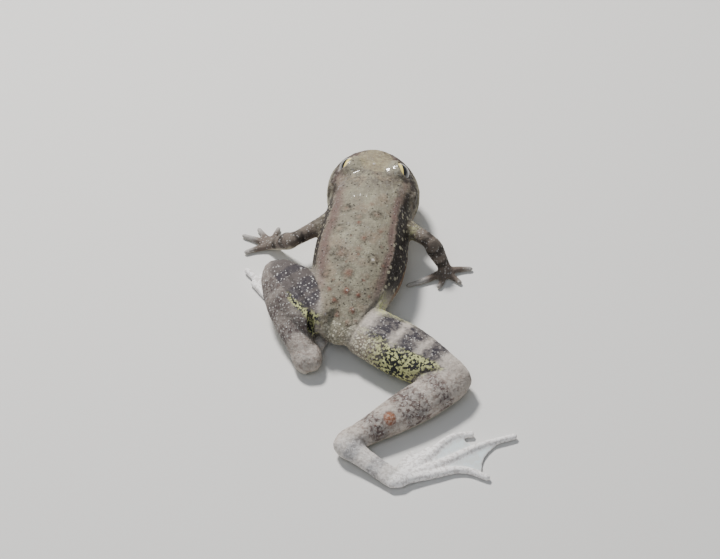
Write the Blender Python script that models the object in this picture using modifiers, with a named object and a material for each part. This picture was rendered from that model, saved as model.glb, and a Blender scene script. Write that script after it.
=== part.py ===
"""Foothill yellow-legged frog, life size, resting low with its right hind leg stretched out to the side.

The body is modelled whole, in millimetres, from lofted sections and fused, then parted with thin
cuts into head, torso and the lengths of each limb. Places are given from the vent, as distances
to the frog's right, ahead of the vent and up from the floor. The finished frog faces -Y, in metres.
"""

import math

import bmesh
import bpy
import numpy as np
from mathutils import Matrix, Vector

METRES = 0.001

# Driving sizes, in millimetres.
BODY_LENGTH = 65.0
GAP = 0.3
VOXEL = 0.45
EYE_RADIUS = 3.1
TOE_RADIUS = 1.0
FINGER_RADIUS = 0.85
WEB_THICKNESS = 0.6
LIMB_SIDES = 20
DIGIT_SIDES = 8

# Sections of the trunk and of the head: distance ahead of the vent as a share of the body's
# length, then offset to the right, half width, lowest level and highest level in millimetres.
TRUNK = [
    (-0.015, 0.0, 1.5, 5.8, 8.2),
    (0.008, 0.0, 4.2, 5.0, 9.8),
    (0.062, 0.1, 7.2, 4.8, 12.0),
    (0.138, 0.5, 8.9, 3.8, 14.2),
    (0.23, 0.9, 10.3, 1.6, 16.4),
    (0.34, 1.2, 11.9, -0.2, 18.2),
    (0.446, 1.3, 12.3, -0.3, 19.0),
    (0.554, 1.2, 11.8, -0.1, 19.0),
    (0.63, 1.2, 11.3, 0.8, 18.7),
    (0.69, 1.4, 11.4, 1.9, 18.3),
    (0.738, 1.5, 11.9, 2.6, 18.0),
]
HEAD = [
    (0.66, 1.3, 9.6, 3.2, 17.4),
    (0.70, 1.4, 11.4, 2.2, 18.1),
    (0.74, 1.4, 12.1, 2.8, 18.0),
    (0.80, 1.2, 12.3, 3.8, 17.4),
    (0.86, 0.8, 11.5, 5.0, 16.6),
    (0.91, 0.5, 9.9, 6.3, 15.5),
    (0.95, 0.2, 7.8, 7.5, 14.4),
    (0.98, 0.1, 5.3, 8.5, 13.3),
    (0.996, 0.0, 2.8, 9.4, 12.3),
]
WIDEST_LEVEL = 0.42
TRUNK_SQUARENESS = 2.35
CROWN_SQUARENESS = 1.7
NECK = 0.685
FLANK = {"r": 13.6, "l": 11.2}
GROIN_TO_RUMP = {"r": ((11.6, 16.6), (0.8, -5.4)), "l": ((-12.0, 25.4), (-3.0, -5.0))}
KNEE_FOLD = {"r": 14.0, "l": 27.0}

# Where the limbs bend: to the frog's right, ahead of the vent and up.
JOINTS = {
    "shoulder_r": (9.1, 42.5, 8.8),
    "elbow_r": (18.9, 35.7, 10.4),
    "wrist_r": (22.7, 34.8, 2.5),
    "shoulder_l": (-6.9, 42.0, 8.8),
    "elbow_l": (-17.2, 32.2, 8.6),
    "wrist_l": (-22.8, 35.6, 2.5),
    "hip_r": (5.0, 5.6, 6.6),
    "knee_r": (32.8, -7.6, 4.9),
    "heel_r": (6.9, -33.6, 3.6),
    "ankle_r": (21.2, -41.8, 1.7),
    "hip_l": (-4.2, 5.2, 9.9),
    "knee_l": (-19.7, 19.6, 9.0),
    "heel_l": (-7.2, -6.4, 3.1),
    "ankle_l": (-4.0, 9.4, 1.5),
}

# Each length of limb: where it starts and ends, and its half width and half height on the way.
THIGH = [(-0.1, 4.5, 3.6), (0.0, 7.0, 4.7), (0.2, 8.0, 5.2), (0.45, 8.2, 5.4), (0.7, 6.9, 5.1),
         (0.9, 5.2, 4.6), (1.0, 4.4, 4.2), (1.08, 2.6, 2.6)]
SHANK = [(-0.09, 2.4, 2.4), (0.0, 4.2, 4.0), (0.15, 5.2, 4.6), (0.35, 5.6, 4.6), (0.6, 4.8, 4.1),
         (0.85, 3.5, 3.4), (1.0, 3.4, 3.3), (1.07, 2.0, 2.0)]
TARSUS = [(-0.14, 1.7, 1.8), (0.0, 3.1, 3.1), (0.25, 3.0, 2.4), (0.6, 2.9, 1.9), (0.9, 3.0, 1.7),
          (1.0, 3.1, 1.6), (1.15, 1.9, 1.1)]
FOLDED_TARSUS = [(-0.14, 1.5, 1.3), (0.0, 2.7, 2.0), (0.25, 1.9, 1.3), (0.6, 1.9, 1.3),
                 (0.9, 2.6, 1.5), (1.0, 2.9, 1.6), (1.15, 1.9, 1.1)]
UPPER_ARM = [(-0.3, 1.6, 1.8), (-0.1, 2.9, 3.2), (0.2, 2.6, 2.8), (0.6, 2.0, 2.3), (0.9, 1.9, 2.0),
             (1.0, 1.8, 1.9), (1.15, 1.1, 1.1)]
FOREARM = [(-0.16, 1.0, 1.0), (0.0, 1.9, 2.0), (0.25, 2.3, 2.4), (0.6, 2.1, 2.1), (0.9, 1.8, 1.7),
           (1.05, 1.7, 1.5), (1.2, 0.9, 0.9)]

# Toes from first to fifth: the points that each runs through, to the frog's right and ahead.
TOES = {
    "r": [
        [(22.0, -39.0), (22.8, -35.4), (24.4, -31.6)],
        [(23.0, -39.2), (25.6, -33.8), (29.2, -28.8)],
        [(24.0, -39.6), (28.6, -32.4), (34.4, -24.0), (38.8, -22.4)],
        [(24.6, -40.2), (32.6, -34.0), (41.6, -26.2), (50.0, -21.4)],
        [(24.6, -41.2), (31.0, -38.2), (38.6, -35.2), (45.2, -36.8)],
    ],
    "l": [
        [(-7.6, 12.0), (-9.6, 14.2), (-11.4, 16.6)],
        [(-8.0, 12.0), (-11.2, 15.4), (-14.4, 18.8)],
        [(-8.4, 11.8), (-14.0, 16.2), (-19.4, 20.8), (-24.2, 25.6)],
        [(-8.6, 11.4), (-15.6, 15.6), (-22.4, 20.6), (-28.6, 26.2)],
        [(-8.4, 10.8), (-14.8, 13.2), (-21.0, 17.0), (-26.2, 22.0)],
    ],
}

# Fingers from first to fourth: the points that each runs through.
FINGERS = {
    "r": [
        [(23.6, 34.4), (26.8, 35.8), (30.2, 36.6)],
        [(23.6, 33.4), (25.8, 32.4), (28.0, 30.8)],
        [(22.6, 32.8), (22.8, 30.6), (22.0, 28.2)],
        [(21.8, 33.0), (18.0, 30.2), (13.6, 27.6)],
    ],
    "l": [
        [(-23.6, 37.2), (-23.4, 40.2), (-22.8, 43.4)],
        [(-24.4, 37.2), (-26.4, 39.8), (-28.4, 42.2)],
        [(-24.8, 36.6), (-28.4, 38.0), (-32.2, 39.0)],
        [(-24.6, 35.8), (-27.6, 34.6), (-30.6, 32.8)],
    ],
}

# The webs of a hind foot: two neighbouring toes, and the share of each toe that its web reaches.
WEBS = [((0, 1), (0.90, 0.70)), ((1, 2), (0.90, 0.66)), ((2, 3), (0.92, 0.72)), ((3, 4), (0.90, 0.94))]
WEB_NOTCH = 0.10

# Places on the head: to the side, as a share of the body's length ahead of the vent, and up.
EYE_AT = (6.1, 0.843, 14.1)
EYE_BULGE = (3.5, 4.3, 3.8)
BULGE_INWARD = 1.2
BULGE_SUNK = 0.4
NOSTRIL_AT = (2.6, 0.952, 13.2)
NOSTRIL_RADIUS = 0.5
EARDRUM_AT = (11.2, 0.742, 12.2)
EARDRUM_SIZE = (0.9, 2.0, 2.0)
MOUTH_BACK = 0.715
MOUTH_CENTRE = 0.80
MOUTH_DEPTH = 0.8
MOUTH_HEIGHT = 0.4
MOUTH_REACH = 3.0

# The fold of skin down each side of the back: its radius, where it runs as shares of the body's
# length, how far it lies from the back's middle line at its ends and how far it bows outwards.
FOLD_RADIUS = 0.9
FOLD_RUN = (0.12, 0.70)
FOLD_PLACE = 6.2
FOLD_BOW = 3.2
FOLD_SUNK = 0.45
FOLD_POINTS = 14
BACK_OFFSET = 1.0

# How far each thin cut reaches: half its width and half its height.
NECK_CUT = (16.0, 14.0)
SHOULDER_CUT = (4.6, 6.0)
ELBOW_CUT = (3.4, 3.8)
ANKLE_CUT = (5.0, 5.0)
HIP_CUT_HEIGHT = 10.5
BEND_CUT_HEIGHT = 9.0
KNEE_REACH = 7.5
HEEL_REACH = (6.5, 9.0)
WRIST_OVERLAP = 0.2

# Hands and feet: how high a digit's middle line lies at its root and near its tip, the palm's
# and the sole's radii from the wrist or ankle to the knuckles, and how low they are for their width.
TOE_LEVELS = (1.5, 0.85)
FINGER_LEVELS = (1.1, 0.72)
SOLE = [2.4, 2.9, 3.1, 3.2, 3.1, 2.9, 2.6, 2.0, 1.0]
SOLE_FLATNESS = 0.56
SOLE_BACK = 2.5
PALM = [1.5, 1.55, 1.6, 1.7, 1.8, 1.9, 1.8, 1.5, 0.9]
PALM_FLATNESS = 0.8
PALM_BACK = 1.8
TOE_STEPS = 15
FINGER_STEPS = 11

TRIANGLES = {
    "head": 2300, "torso": 2000, "thigh": 460, "shank": 420, "tarsus": 260,
    "upper_arm": 220, "forearm": 200,
}

COLOURS = {
    "head": ((0.335, 0.305, 0.235), 0.32),
    "torso": ((0.300, 0.275, 0.215), 0.45),
    "upper_arm": ((0.215, 0.180, 0.160), 0.5),
    "forearm": ((0.200, 0.165, 0.150), 0.5),
    "hand": ((0.310, 0.250, 0.215), 0.5),
    "thigh": ((0.265, 0.255, 0.205), 0.45),
    "shank": ((0.350, 0.320, 0.280), 0.45),
    "tarsus": ((0.420, 0.370, 0.335), 0.45),
    "foot": ((0.600, 0.560, 0.540), 0.45),
    "eye": ((0.330, 0.235, 0.070), 0.08),
}


def at(right, ahead, up):
    """A place given from the vent. The frog faces -Y, so its right is -X."""
    return Vector((-right, -ahead, up))


def joint(name):
    return at(*JOINTS[name])


def clear_scene():
    for obj in list(bpy.data.objects):
        bpy.data.objects.remove(obj, do_unlink=True)


def new_collection(name):
    collection = bpy.data.collections.new(name)
    bpy.context.scene.collection.children.link(collection)
    return collection


def new_object(name, bm, collection):
    mesh = bpy.data.meshes.new(name)
    bmesh.ops.recalc_face_normals(bm, faces=bm.faces)
    bm.to_mesh(mesh)
    bm.free()
    obj = bpy.data.objects.new(name, mesh)
    collection.objects.link(obj)
    return obj


def loft(name, rings, collection):
    """A closed solid through rings of the same number of points, with a point closing each end."""
    bm = bmesh.new()
    rows = [[bm.verts.new(point) for point in ring] for ring in rings]
    sides = len(rings[0])
    for low, high in zip(rows, rows[1:]):
        for i in range(sides):
            j = (i + 1) % sides
            bm.faces.new((low[i], low[j], high[j], high[i]))
    for row, ring in ((rows[0], rings[0]), (rows[-1], rings[-1])):
        centre = bm.verts.new(sum(ring, Vector()) / sides)
        for i in range(sides):
            bm.faces.new((row[i], row[(i + 1) % sides], centre))
    return new_object(name, bm, collection)


def eased(rows, count):
    """Rows of numbers read at evenly spread steps along a smooth curve through the given rows."""
    table = np.array(rows, float)
    keys = table[:, 0]
    slopes = np.gradient(table[:, 1:], keys, axis=0)
    steps = np.linspace(keys[0], keys[-1], count)
    span = np.clip(np.searchsorted(keys, steps, side="right") - 1, 0, len(keys) - 2)
    width = (keys[span + 1] - keys[span])[:, None]
    t = ((steps - keys[span])[:, None]) / width
    start, end = table[span, 1:], table[span + 1, 1:]
    values = (
        (2 * t**3 - 3 * t**2 + 1) * start + (t**3 - 2 * t**2 + t) * width * slopes[span]
        + (3 * t**2 - 2 * t**3) * end + (t**3 - t**2) * width * slopes[span + 1]
    )
    return np.column_stack([steps, values])


def rounded(angle, half_width, half_height, squareness):
    """A point of a rounded box outline, seen along its length."""
    across, up = math.cos(angle), math.sin(angle)
    power = 2 / squareness
    return (
        half_width * math.copysign(abs(across) ** power, across),
        half_height * math.copysign(abs(up) ** power, up),
    )


def trunk_ring(share, offset, half_width, low, high, top_squareness, sides=40):
    level = low + WIDEST_LEVEL * (high - low)
    ring = []
    for i in range(sides):
        angle = 2 * math.pi * i / sides
        above = math.sin(angle) > 0
        reach = high - level if above else level - low
        squareness = top_squareness if above else TRUNK_SQUARENESS
        across, up = rounded(angle, half_width, reach, squareness)
        ring.append(at(offset + across, share * BODY_LENGTH, level + up))
    return ring


def limb_frame(start, end):
    """Unit vectors along a length of limb, level across it, and upwards square to both."""
    along = (end - start).normalized()
    across = along.cross(Vector((0, 0, 1)))
    across.normalize()
    return along, across, across.cross(along)


def limb(name, start, end, profile, collection, sides=LIMB_SIDES, steps=18):
    _, across, up = limb_frame(start, end)
    rings = []
    for share, half_width, half_height in eased(profile, steps):
        centre = start + (end - start) * share
        ring = []
        for i in range(sides):
            angle = 2 * math.pi * i / sides
            offset = across * (half_width * math.cos(angle)) + up * (half_height * math.sin(angle))
            ring.append(centre + offset)
        rings.append(ring)
    return loft(name, rings, collection)


def ball(name, centre, radii, collection, segments=32, rings=20):
    bm = bmesh.new()
    bmesh.ops.create_uvsphere(bm, u_segments=segments, v_segments=rings, radius=1.0)
    scale = Matrix.Diagonal((*radii, 1.0))
    bmesh.ops.transform(bm, matrix=Matrix.Translation(centre) @ scale, verts=bm.verts)
    return new_object(name, bm, collection)


def smooth_path(points, steps):
    """Points along a smooth curve through the given ones, by their share of its length."""
    table = np.array([tuple(point) for point in points], float)
    lengths = np.concatenate([[0], np.cumsum(np.linalg.norm(np.diff(table, axis=0), axis=1))])
    rows = np.column_stack([lengths / lengths[-1], table])
    return [Vector(row[1:]) for row in eased(rows, steps)]


def tube(name, path, radii, collection, sides=DIGIT_SIDES, flatten=1.0):
    """A round bar along a path with a radius for each point, a little lower than wide if asked."""
    rings = []
    for i, (point, radius) in enumerate(zip(path, radii)):
        before, after = path[max(i - 1, 0)], path[min(i + 1, len(path) - 1)]
        _, across, up = limb_frame(before, after)
        ring = []
        for k in range(sides):
            angle = 2 * math.pi * (k + 0.5) / sides
            offset = across * math.cos(angle) + up * (math.sin(angle) * flatten)
            ring.append(point + offset * radius)
        rings.append(ring)
    return loft(name, rings, collection)


def applied(obj):
    """The object with its modifiers made part of its mesh."""
    graph = bpy.context.evaluated_depsgraph_get()
    mesh = bpy.data.meshes.new_from_object(obj.evaluated_get(graph))
    obj.modifiers.clear()
    old = obj.data
    obj.data = mesh
    bpy.data.meshes.remove(old)
    return obj


def joined(name, objects, collection):
    """The objects' meshes together in one, and the objects removed."""
    bm = bmesh.new()
    for obj in objects:
        bm.from_mesh(obj.data)
        bpy.data.objects.remove(obj, do_unlink=True)
    return new_object(name, bm, collection)


def fused(name, objects, collection, voxel=VOXEL, smoothing=6):
    """One smooth skin round the overlapping objects."""
    obj = joined(name, objects, collection)
    remesh = obj.modifiers.new("Fuse", "REMESH")
    remesh.mode = "VOXEL"
    remesh.voxel_size = voxel
    smooth = obj.modifiers.new("Soften", "SMOOTH")
    smooth.factor = 0.5
    smooth.iterations = smoothing
    return applied(obj)


def boolean(obj, other, operation, solver="MANIFOLD"):
    change = obj.modifiers.new("Change", "BOOLEAN")
    change.operation = operation
    change.solver = solver
    change.object = other
    applied(obj)
    bpy.data.objects.remove(other, do_unlink=True)
    return obj


def triangulated(obj):
    bm = bmesh.new()
    bm.from_mesh(obj.data)
    bmesh.ops.triangulate(bm, faces=bm.faces)
    bm.to_mesh(obj.data)
    bm.free()
    return obj


def trimmed(obj, point, normal):
    """The object with what lies past a plane, on the side that the normal points to, cut away."""
    bm = bmesh.new()
    bm.from_mesh(obj.data)
    geometry = bm.verts[:] + bm.edges[:] + bm.faces[:]
    found = bmesh.ops.bisect_plane(
        bm, geom=geometry, plane_co=point, plane_no=normal, clear_outer=True
    )
    edges = [item for item in found["geom_cut"] if isinstance(item, bmesh.types.BMEdge)]
    bmesh.ops.holes_fill(bm, edges=edges, sides=0)
    bmesh.ops.triangulate(bm, faces=bm.faces)
    bmesh.ops.recalc_face_normals(bm, faces=bm.faces)
    bm.to_mesh(obj.data)
    bm.free()
    return obj


def levelled(obj):
    """The object with whatever lies under the floor cut away, which leaves its small flats."""
    return trimmed(obj, Vector((0, 0, 0)), Vector((0, 0, -1)))


def slab(centre, normal, half_width, half_height, collection, thickness=GAP):
    """A thin upright box square to the normal, which parts what it passes through."""
    normal = normal.normalized()
    side = normal.cross(Vector((0, 0, 1))).normalized()
    up = side.cross(normal)
    turn = Matrix((side, normal, up)).transposed().to_4x4()
    bm = bmesh.new()
    bmesh.ops.create_cube(bm, size=1.0)
    size = Matrix.Diagonal((2 * half_width, thickness, 2 * half_height, 1.0))
    bmesh.ops.transform(bm, matrix=Matrix.Translation(centre) @ turn @ size, verts=bm.verts)
    return new_object("cut", bm, collection)


def loose_parts(obj, collection):
    """The closed surfaces that make up an object, each as an object of its own."""
    bm = bmesh.new()
    bm.from_mesh(obj.data)
    bm.verts.ensure_lookup_table()
    unseen = set(bm.verts)
    groups = []
    while unseen:
        group, waiting = {unseen.pop()}, []
        waiting.extend(group)
        while waiting:
            vert = waiting.pop()
            for edge in vert.link_edges:
                other = edge.other_vert(vert)
                if other in unseen:
                    unseen.discard(other)
                    group.add(other)
                    waiting.append(other)
        groups.append(group)
    parts = []
    for group in groups:
        piece = bmesh.new()
        copies = {vert: piece.verts.new(vert.co) for vert in group}
        for face in bm.faces:
            if face.verts[0] in group:
                piece.faces.new([copies[vert] for vert in face.verts])
        parts.append(new_object("part", piece, collection))
    bm.free()
    bpy.data.objects.remove(obj, do_unlink=True)
    return parts


def volume_of(obj):
    bm = bmesh.new()
    bm.from_mesh(obj.data)
    volume = bm.calc_volume()
    bm.free()
    return volume


def middle_of(obj):
    corners = np.array([tuple(vert.co) for vert in obj.data.vertices])
    return Vector(corners.mean(axis=0))


def largest_part(obj, collection):
    """Only the largest closed surface of an object."""
    name = obj.name
    parts = sorted(loose_parts(obj, collection), key=volume_of)
    for scrap in parts[:-1]:
        bpy.data.objects.remove(scrap, do_unlink=True)
    parts[-1].name = name
    return parts[-1]


def simplified(obj, triangles):
    """The object with about as many triangles as asked, fewest where it is flattest."""
    triangulated(obj)
    simplify = obj.modifiers.new("Simplify", "DECIMATE")
    simplify.ratio = min(1.0, triangles / len(obj.data.polygons))
    return applied(obj)


def back_level(share, right):
    """How high the trunk's skin lies at a place on the back."""
    rows = np.array(TRUNK)
    offset, half_width, low, high = (np.interp(share, rows[:, 0], rows[:, k]) for k in (1, 2, 3, 4))
    level = low + WIDEST_LEVEL * (high - low)
    across = min(abs(right - offset) / half_width, 0.999)
    return level + (high - level) * (1 - across**TRUNK_SQUARENESS) ** (1 / TRUNK_SQUARENESS)


def make_trunk(collection):
    rings = [trunk_ring(*row, TRUNK_SQUARENESS) for row in eased(TRUNK, 30)]
    parts = [loft("trunk", rings, collection)]
    for side in (-1, 1):
        path = []
        for share in np.linspace(*FOLD_RUN, FOLD_POINTS):
            bow = math.sin(math.pi * share / (FOLD_RUN[1] + 0.05))
            right = BACK_OFFSET + side * (FOLD_PLACE + FOLD_BOW * bow)
            height = back_level(share, right) - FOLD_SUNK * FOLD_RADIUS
            path.append(at(right, share * BODY_LENGTH, height))
        radii = [FOLD_RADIUS * (0.5 + 0.5 * math.sin(math.pi * k / (FOLD_POINTS - 1)))
                 for k in range(FOLD_POINTS)]
        parts.append(tube("fold", path, radii, collection))
    return parts


def on_head(right, share, up):
    """A place beside the head's own middle line, which turns a little to the frog's left."""
    rows = np.array(HEAD)
    return at(right + np.interp(share, rows[:, 0], rows[:, 1]), share * BODY_LENGTH, up)


def make_head(collection):
    rings = [trunk_ring(*row, CROWN_SQUARENESS) for row in eased(HEAD, 26)]
    parts = [loft("head", rings, collection)]
    right, share, up = EYE_AT
    for side in (-1, 1):
        centre = on_head(side * (right - BULGE_INWARD), share, up - BULGE_SUNK)
        parts.append(ball("bulge", centre, EYE_BULGE, collection))
    return parts


def make_limbs(collection):
    """The lengths of limb that are fused with the trunk."""
    lengths = [
        ("hip", "knee", THIGH), ("knee", "heel", SHANK), ("heel", "ankle", TARSUS),
        ("shoulder", "elbow", UPPER_ARM), ("elbow", "wrist", FOREARM),
    ]
    parts = []
    for side in ("l", "r"):
        for first, second, profile in lengths:
            if (side, first) == ("l", "heel"):
                continue
            start, end = joint(f"{first}_{side}"), joint(f"{second}_{side}")
            parts.append(limb(first, start, end, profile, collection))
    return parts


def bisector(middle, first, second):
    """The direction square to the crease of a bend, level with the floor."""
    normal = (first - middle).normalized() - (second - middle).normalized()
    normal.z = 0
    return normal.normalized()


def bend_cut(middle, first, second, outward, inward, collection):
    """A thin box through the crease of a bend, reaching past the joint and into the bend."""
    into = (first - middle).normalized() + (second - middle).normalized()
    into.z = 0
    centre = middle + into.normalized() * (inward - outward) / 2
    reach = (inward + outward) / 2
    return slab(centre, bisector(middle, first, second), reach, BEND_CUT_HEIGHT, collection)


def make_cuts(collection):
    """Thin boxes across each joint of the body."""
    cuts = [slab(at(0, NECK * BODY_LENGTH, 10), Vector((0, 1, 0)), *NECK_CUT, collection)]
    for side, sign in (("l", -1), ("r", 1)):
        hip, knee, heel = (joint(f"{name}_{side}") for name in ("hip", "knee", "heel"))
        shoulder, elbow, wrist = (joint(f"{name}_{side}") for name in ("shoulder", "elbow", "wrist"))
        front, back = (at(*place, 9) for place in GROIN_TO_RUMP[side])
        across = (front - back).cross(Vector((0, 0, 1)))
        reach = (front - back).length / 2
        cuts.append(slab((front + back) / 2, across, reach, HIP_CUT_HEIGHT, collection))
        cuts.append(bend_cut(knee, hip, heel, KNEE_REACH, KNEE_FOLD[side], collection))
        share = (sign * FLANK[side] - JOINTS[f"shoulder_{side}"][0]) / (
            JOINTS[f"elbow_{side}"][0] - JOINTS[f"shoulder_{side}"][0])
        cuts.append(slab(shoulder.lerp(elbow, share), Vector((1, 0, 0)), *SHOULDER_CUT, collection))
        bend = (shoulder - elbow).normalized() - (wrist - elbow).normalized()
        cuts.append(slab(elbow, bend, *ELBOW_CUT, collection))
    heel, ankle = joint("heel_r"), joint("ankle_r")
    cuts.append(bend_cut(heel, joint("knee_r"), ankle, *HEEL_REACH, collection))
    cuts.append(slab(ankle, (ankle - heel) * Vector((1, 1, 0)), *ANKLE_CUT, collection))
    return cuts


def parted(body, cuts, collection):
    """The body cut into its named pieces, each found by the place that it lies nearest to."""
    for cut in cuts:
        boolean(body, cut, "DIFFERENCE")
    places = {
        "head": at(0, 0.86 * BODY_LENGTH, 11),
        "torso": at(0, 0.4 * BODY_LENGTH, 9),
    }
    lengths = [("thigh", "hip", "knee"), ("shank", "knee", "heel"), ("tarsus", "heel", "ankle"),
               ("upper_arm", "shoulder", "elbow"), ("forearm", "elbow", "wrist")]
    for side in ("l", "r"):
        for name, first, second in lengths:
            middle = joint(f"{first}_{side}").lerp(joint(f"{second}_{side}"), 0.5)
            places[f"{name}_{side}"] = middle
    pieces = {}
    for part in sorted(loose_parts(body, collection), key=volume_of):
        middle = middle_of(part)
        name = min(places, key=lambda key: (places[key] - middle).length)
        if name in pieces:
            bpy.data.objects.remove(pieces[name], do_unlink=True)
        part.name = name
        pieces[name] = part
    return pieces


def union(name, objects, collection):
    """The overlapping objects as one closed surface."""
    whole = objects[0]
    group = new_collection("joining")
    for obj in objects[1:]:
        collection.objects.unlink(obj)
        group.objects.link(obj)
    join = whole.modifiers.new("Join", "BOOLEAN")
    join.operation = "UNION"
    join.solver = "MANIFOLD"
    join.operand_type = "COLLECTION"
    join.collection = group
    applied(whole)
    for obj in list(group.objects):
        bpy.data.objects.remove(obj, do_unlink=True)
    bpy.data.collections.remove(group)
    whole.name = name
    return whole


def digit_path(points, steps, high, low):
    """A finger's or toe's middle line, which comes down from its root to lie on the floor."""
    path = smooth_path([(right, ahead, 0) for right, ahead in points], steps)
    drop = [low + (high - low) * max(0.0, 1 - k / (0.55 * (steps - 1))) ** 1.5 for k in range(steps)]
    return [at(place.x, place.y, up) for place, up in zip(path, drop)]


def digit_radii(radius, steps):
    """Radii from the root to a slightly swollen, rounded tip."""
    shares = [k / (steps - 1) for k in range(steps)]
    body = [radius * (1.25 - 0.55 * share + 0.10 * math.exp(-(((share - 0.92) / 0.05) ** 2)))
            for share in shares]
    return body[:-1] + [0.35 * radius]


def web(path_a, path_b, reaches, collection):
    """A thin closed sheet between two toes, whose free edge is hollowed."""
    across, along = 6, 8
    rows = {1: [], -1: []}
    for i in range(across + 1):
        u = -0.04 + 1.08 * i / across
        hollow = 1 - WEB_NOTCH * 4 * max(u * (1 - u), 0.0)
        reach = (reaches[0] * (1 - u) + reaches[1] * u) * hollow
        for face in rows:
            row = []
            for j in range(along + 1):
                share = reach * j / along
                a, b = (point_on(path, share) for path in (path_a, path_b))
                place = a.lerp(b, u)
                row.append(Vector((place.x, place.y, 0.75 * place.z + face * WEB_THICKNESS / 2)))
            rows[face].append(row)
    bm = bmesh.new()
    grids = {face: [[bm.verts.new(point) for point in row] for row in grid] for face, grid in rows.items()}
    for grid in grids.values():
        for i in range(across):
            for j in range(along):
                a, b, c, d = grid[i][j], grid[i + 1][j], grid[i + 1][j + 1], grid[i][j + 1]
                bm.faces.new((a, b, c))
                bm.faces.new((a, c, d))
    top, bottom = grids[1], grids[-1]
    border = [(i, 0) for i in range(across)] + [(across, j) for j in range(along)]
    border += [(i, along) for i in range(across, 0, -1)] + [(0, j) for j in range(along, 0, -1)]
    for (i, j), (k, m) in zip(border, border[1:] + border[:1]):
        bm.faces.new((top[i][j], top[k][m], bottom[k][m]))
        bm.faces.new((top[i][j], bottom[k][m], bottom[i][j]))
    return new_object("web", bm, collection)


def point_on(path, share):
    """The place at a share of a path's points, which lie evenly along it."""
    step = share * (len(path) - 1)
    low = min(int(step), len(path) - 2)
    return path[low].lerp(path[low + 1], step - low)


def make_foot(side, collection):
    heel, ankle = joint(f"heel_{side}"), joint(f"ankle_{side}")
    paths = [digit_path(points, TOE_STEPS, *TOE_LEVELS) for points in TOES[side]]
    parts = [tube("toe", path, digit_radii(TOE_RADIUS, TOE_STEPS), collection) for path in paths]
    for (first, second), reaches in WEBS:
        parts.append(web(paths[first], paths[second], reaches, collection))
    roots = sum((path[0] for path in paths), Vector()) / len(paths)
    knuckles = sum((path[3] for path in paths), Vector()) / len(paths)
    along = (ankle - heel).normalized()
    line = smooth_path([ankle - along * SOLE_BACK, ankle, roots, knuckles], len(SOLE))
    parts.insert(0, tube("sole", line, SOLE, collection, sides=14, flatten=SOLE_FLATNESS))
    foot = levelled(union(f"foot_{side}", parts, collection))
    level = Vector((along.x, along.y, 0)).normalized()
    return trimmed(foot, ankle + level * GAP, -level)


def make_hand(side, collection):
    elbow, wrist = joint(f"elbow_{side}"), joint(f"wrist_{side}")
    paths = [digit_path(points, FINGER_STEPS, *FINGER_LEVELS) for points in FINGERS[side]]
    parts = [tube("finger", path, digit_radii(FINGER_RADIUS, FINGER_STEPS), collection) for path in paths]
    roots = sum((path[0] for path in paths), Vector()) / len(paths)
    along = (wrist - elbow).normalized()
    knuckles = roots.lerp(paths[2][3], 0.6)
    line = smooth_path([wrist - along * PALM_BACK, wrist + along * GAP, roots, knuckles], len(PALM))
    palm = tube("palm", line, PALM, collection, sides=12, flatten=PALM_FLATNESS)
    parts.insert(0, trimmed(palm, wrist + along * (WRIST_OVERLAP + GAP), -along))
    return levelled(union(f"hand_{side}", parts, collection))


def mouth_cutter(collection):
    """A thin horseshoe that follows the lips, a little deeper than the skin."""
    rows = [row for row in eased(HEAD, 18) if row[0] >= MOUTH_BACK]
    outline = []
    for sign, run in ((1, rows), (-1, rows[::-1])):
        for share, offset, half_width, low, high in run:
            level = low + WIDEST_LEVEL * (high - low)
            outline.append((offset + sign * half_width, share * BODY_LENGTH, level))
    middle = on_head(0, MOUTH_CENTRE, 0).to_2d()
    rings = []
    for right, ahead, up in outline:
        place = at(right, ahead, up)
        outward = Vector((place.x, place.y)) - middle
        inner = middle + outward * (1 - MOUTH_DEPTH / outward.length)
        outer = middle + outward * (1 + MOUTH_REACH / outward.length)
        low, high = up - MOUTH_HEIGHT / 2, up + MOUTH_HEIGHT / 2
        rings.append([Vector((*inner, low)), Vector((*outer, low)), Vector((*outer, high)),
                      Vector((*inner, high))])
    return loft("mouth", rings, collection)


def finish_head(head, collection):
    """Sockets, nostrils, eardrums and the line of the mouth, and the two eyes."""
    eyes = []
    for side, mark in ((1, "r"), (-1, "l")):
        right, share, up = EARDRUM_AT
        centre = on_head(side * right, share, up)
        boolean(head, ball("drum", centre, EARDRUM_SIZE, collection, 16, 10), "UNION")
        right, share, up = EYE_AT
        centre = on_head(side * right, share, up)
        socket = ball("socket", centre, [EYE_RADIUS + GAP] * 3, collection, 20, 12)
        boolean(head, socket, "DIFFERENCE")
        eyes.append(ball(f"eye_{mark}", centre, [EYE_RADIUS] * 3, collection, 20, 12))
        right, share, up = NOSTRIL_AT
        centre = on_head(side * right, share, up)
        boolean(head, ball("nostril", centre, [NOSTRIL_RADIUS] * 3, collection, 10, 8), "DIFFERENCE")
    boolean(head, mouth_cutter(collection), "DIFFERENCE")
    return [largest_part(head, collection)] + eyes


def painted(obj):
    """The object with its own material and soft shading."""
    kind = obj.name.removesuffix("_l").removesuffix("_r")
    colour, roughness = COLOURS[kind]
    material = bpy.data.materials.new(obj.name)
    material.use_nodes = True
    shader = material.node_tree.nodes["Principled BSDF"]
    shader.inputs["Base Color"].default_value = (*colour, 1.0)
    shader.inputs["Roughness"].default_value = roughness
    shader.inputs["Metallic"].default_value = 0.0
    obj.data.materials.append(material)
    obj.data.shade_smooth()
    obj.data.set_sharp_from_angle(angle=math.radians(50))
    return obj


def settle(objects):
    """All the pieces moved to stand on the floor round the origin, and turned into metres."""
    corners = np.array([tuple(vert.co) for obj in objects for vert in obj.data.vertices])
    low, high = corners.min(axis=0), corners.max(axis=0)
    shift = Matrix.Translation((-(low[0] + high[0]) / 2, -(low[1] + high[1]) / 2, -low[2]))
    for obj in objects:
        obj.data.transform(Matrix.Scale(METRES, 4) @ shift)


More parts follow.
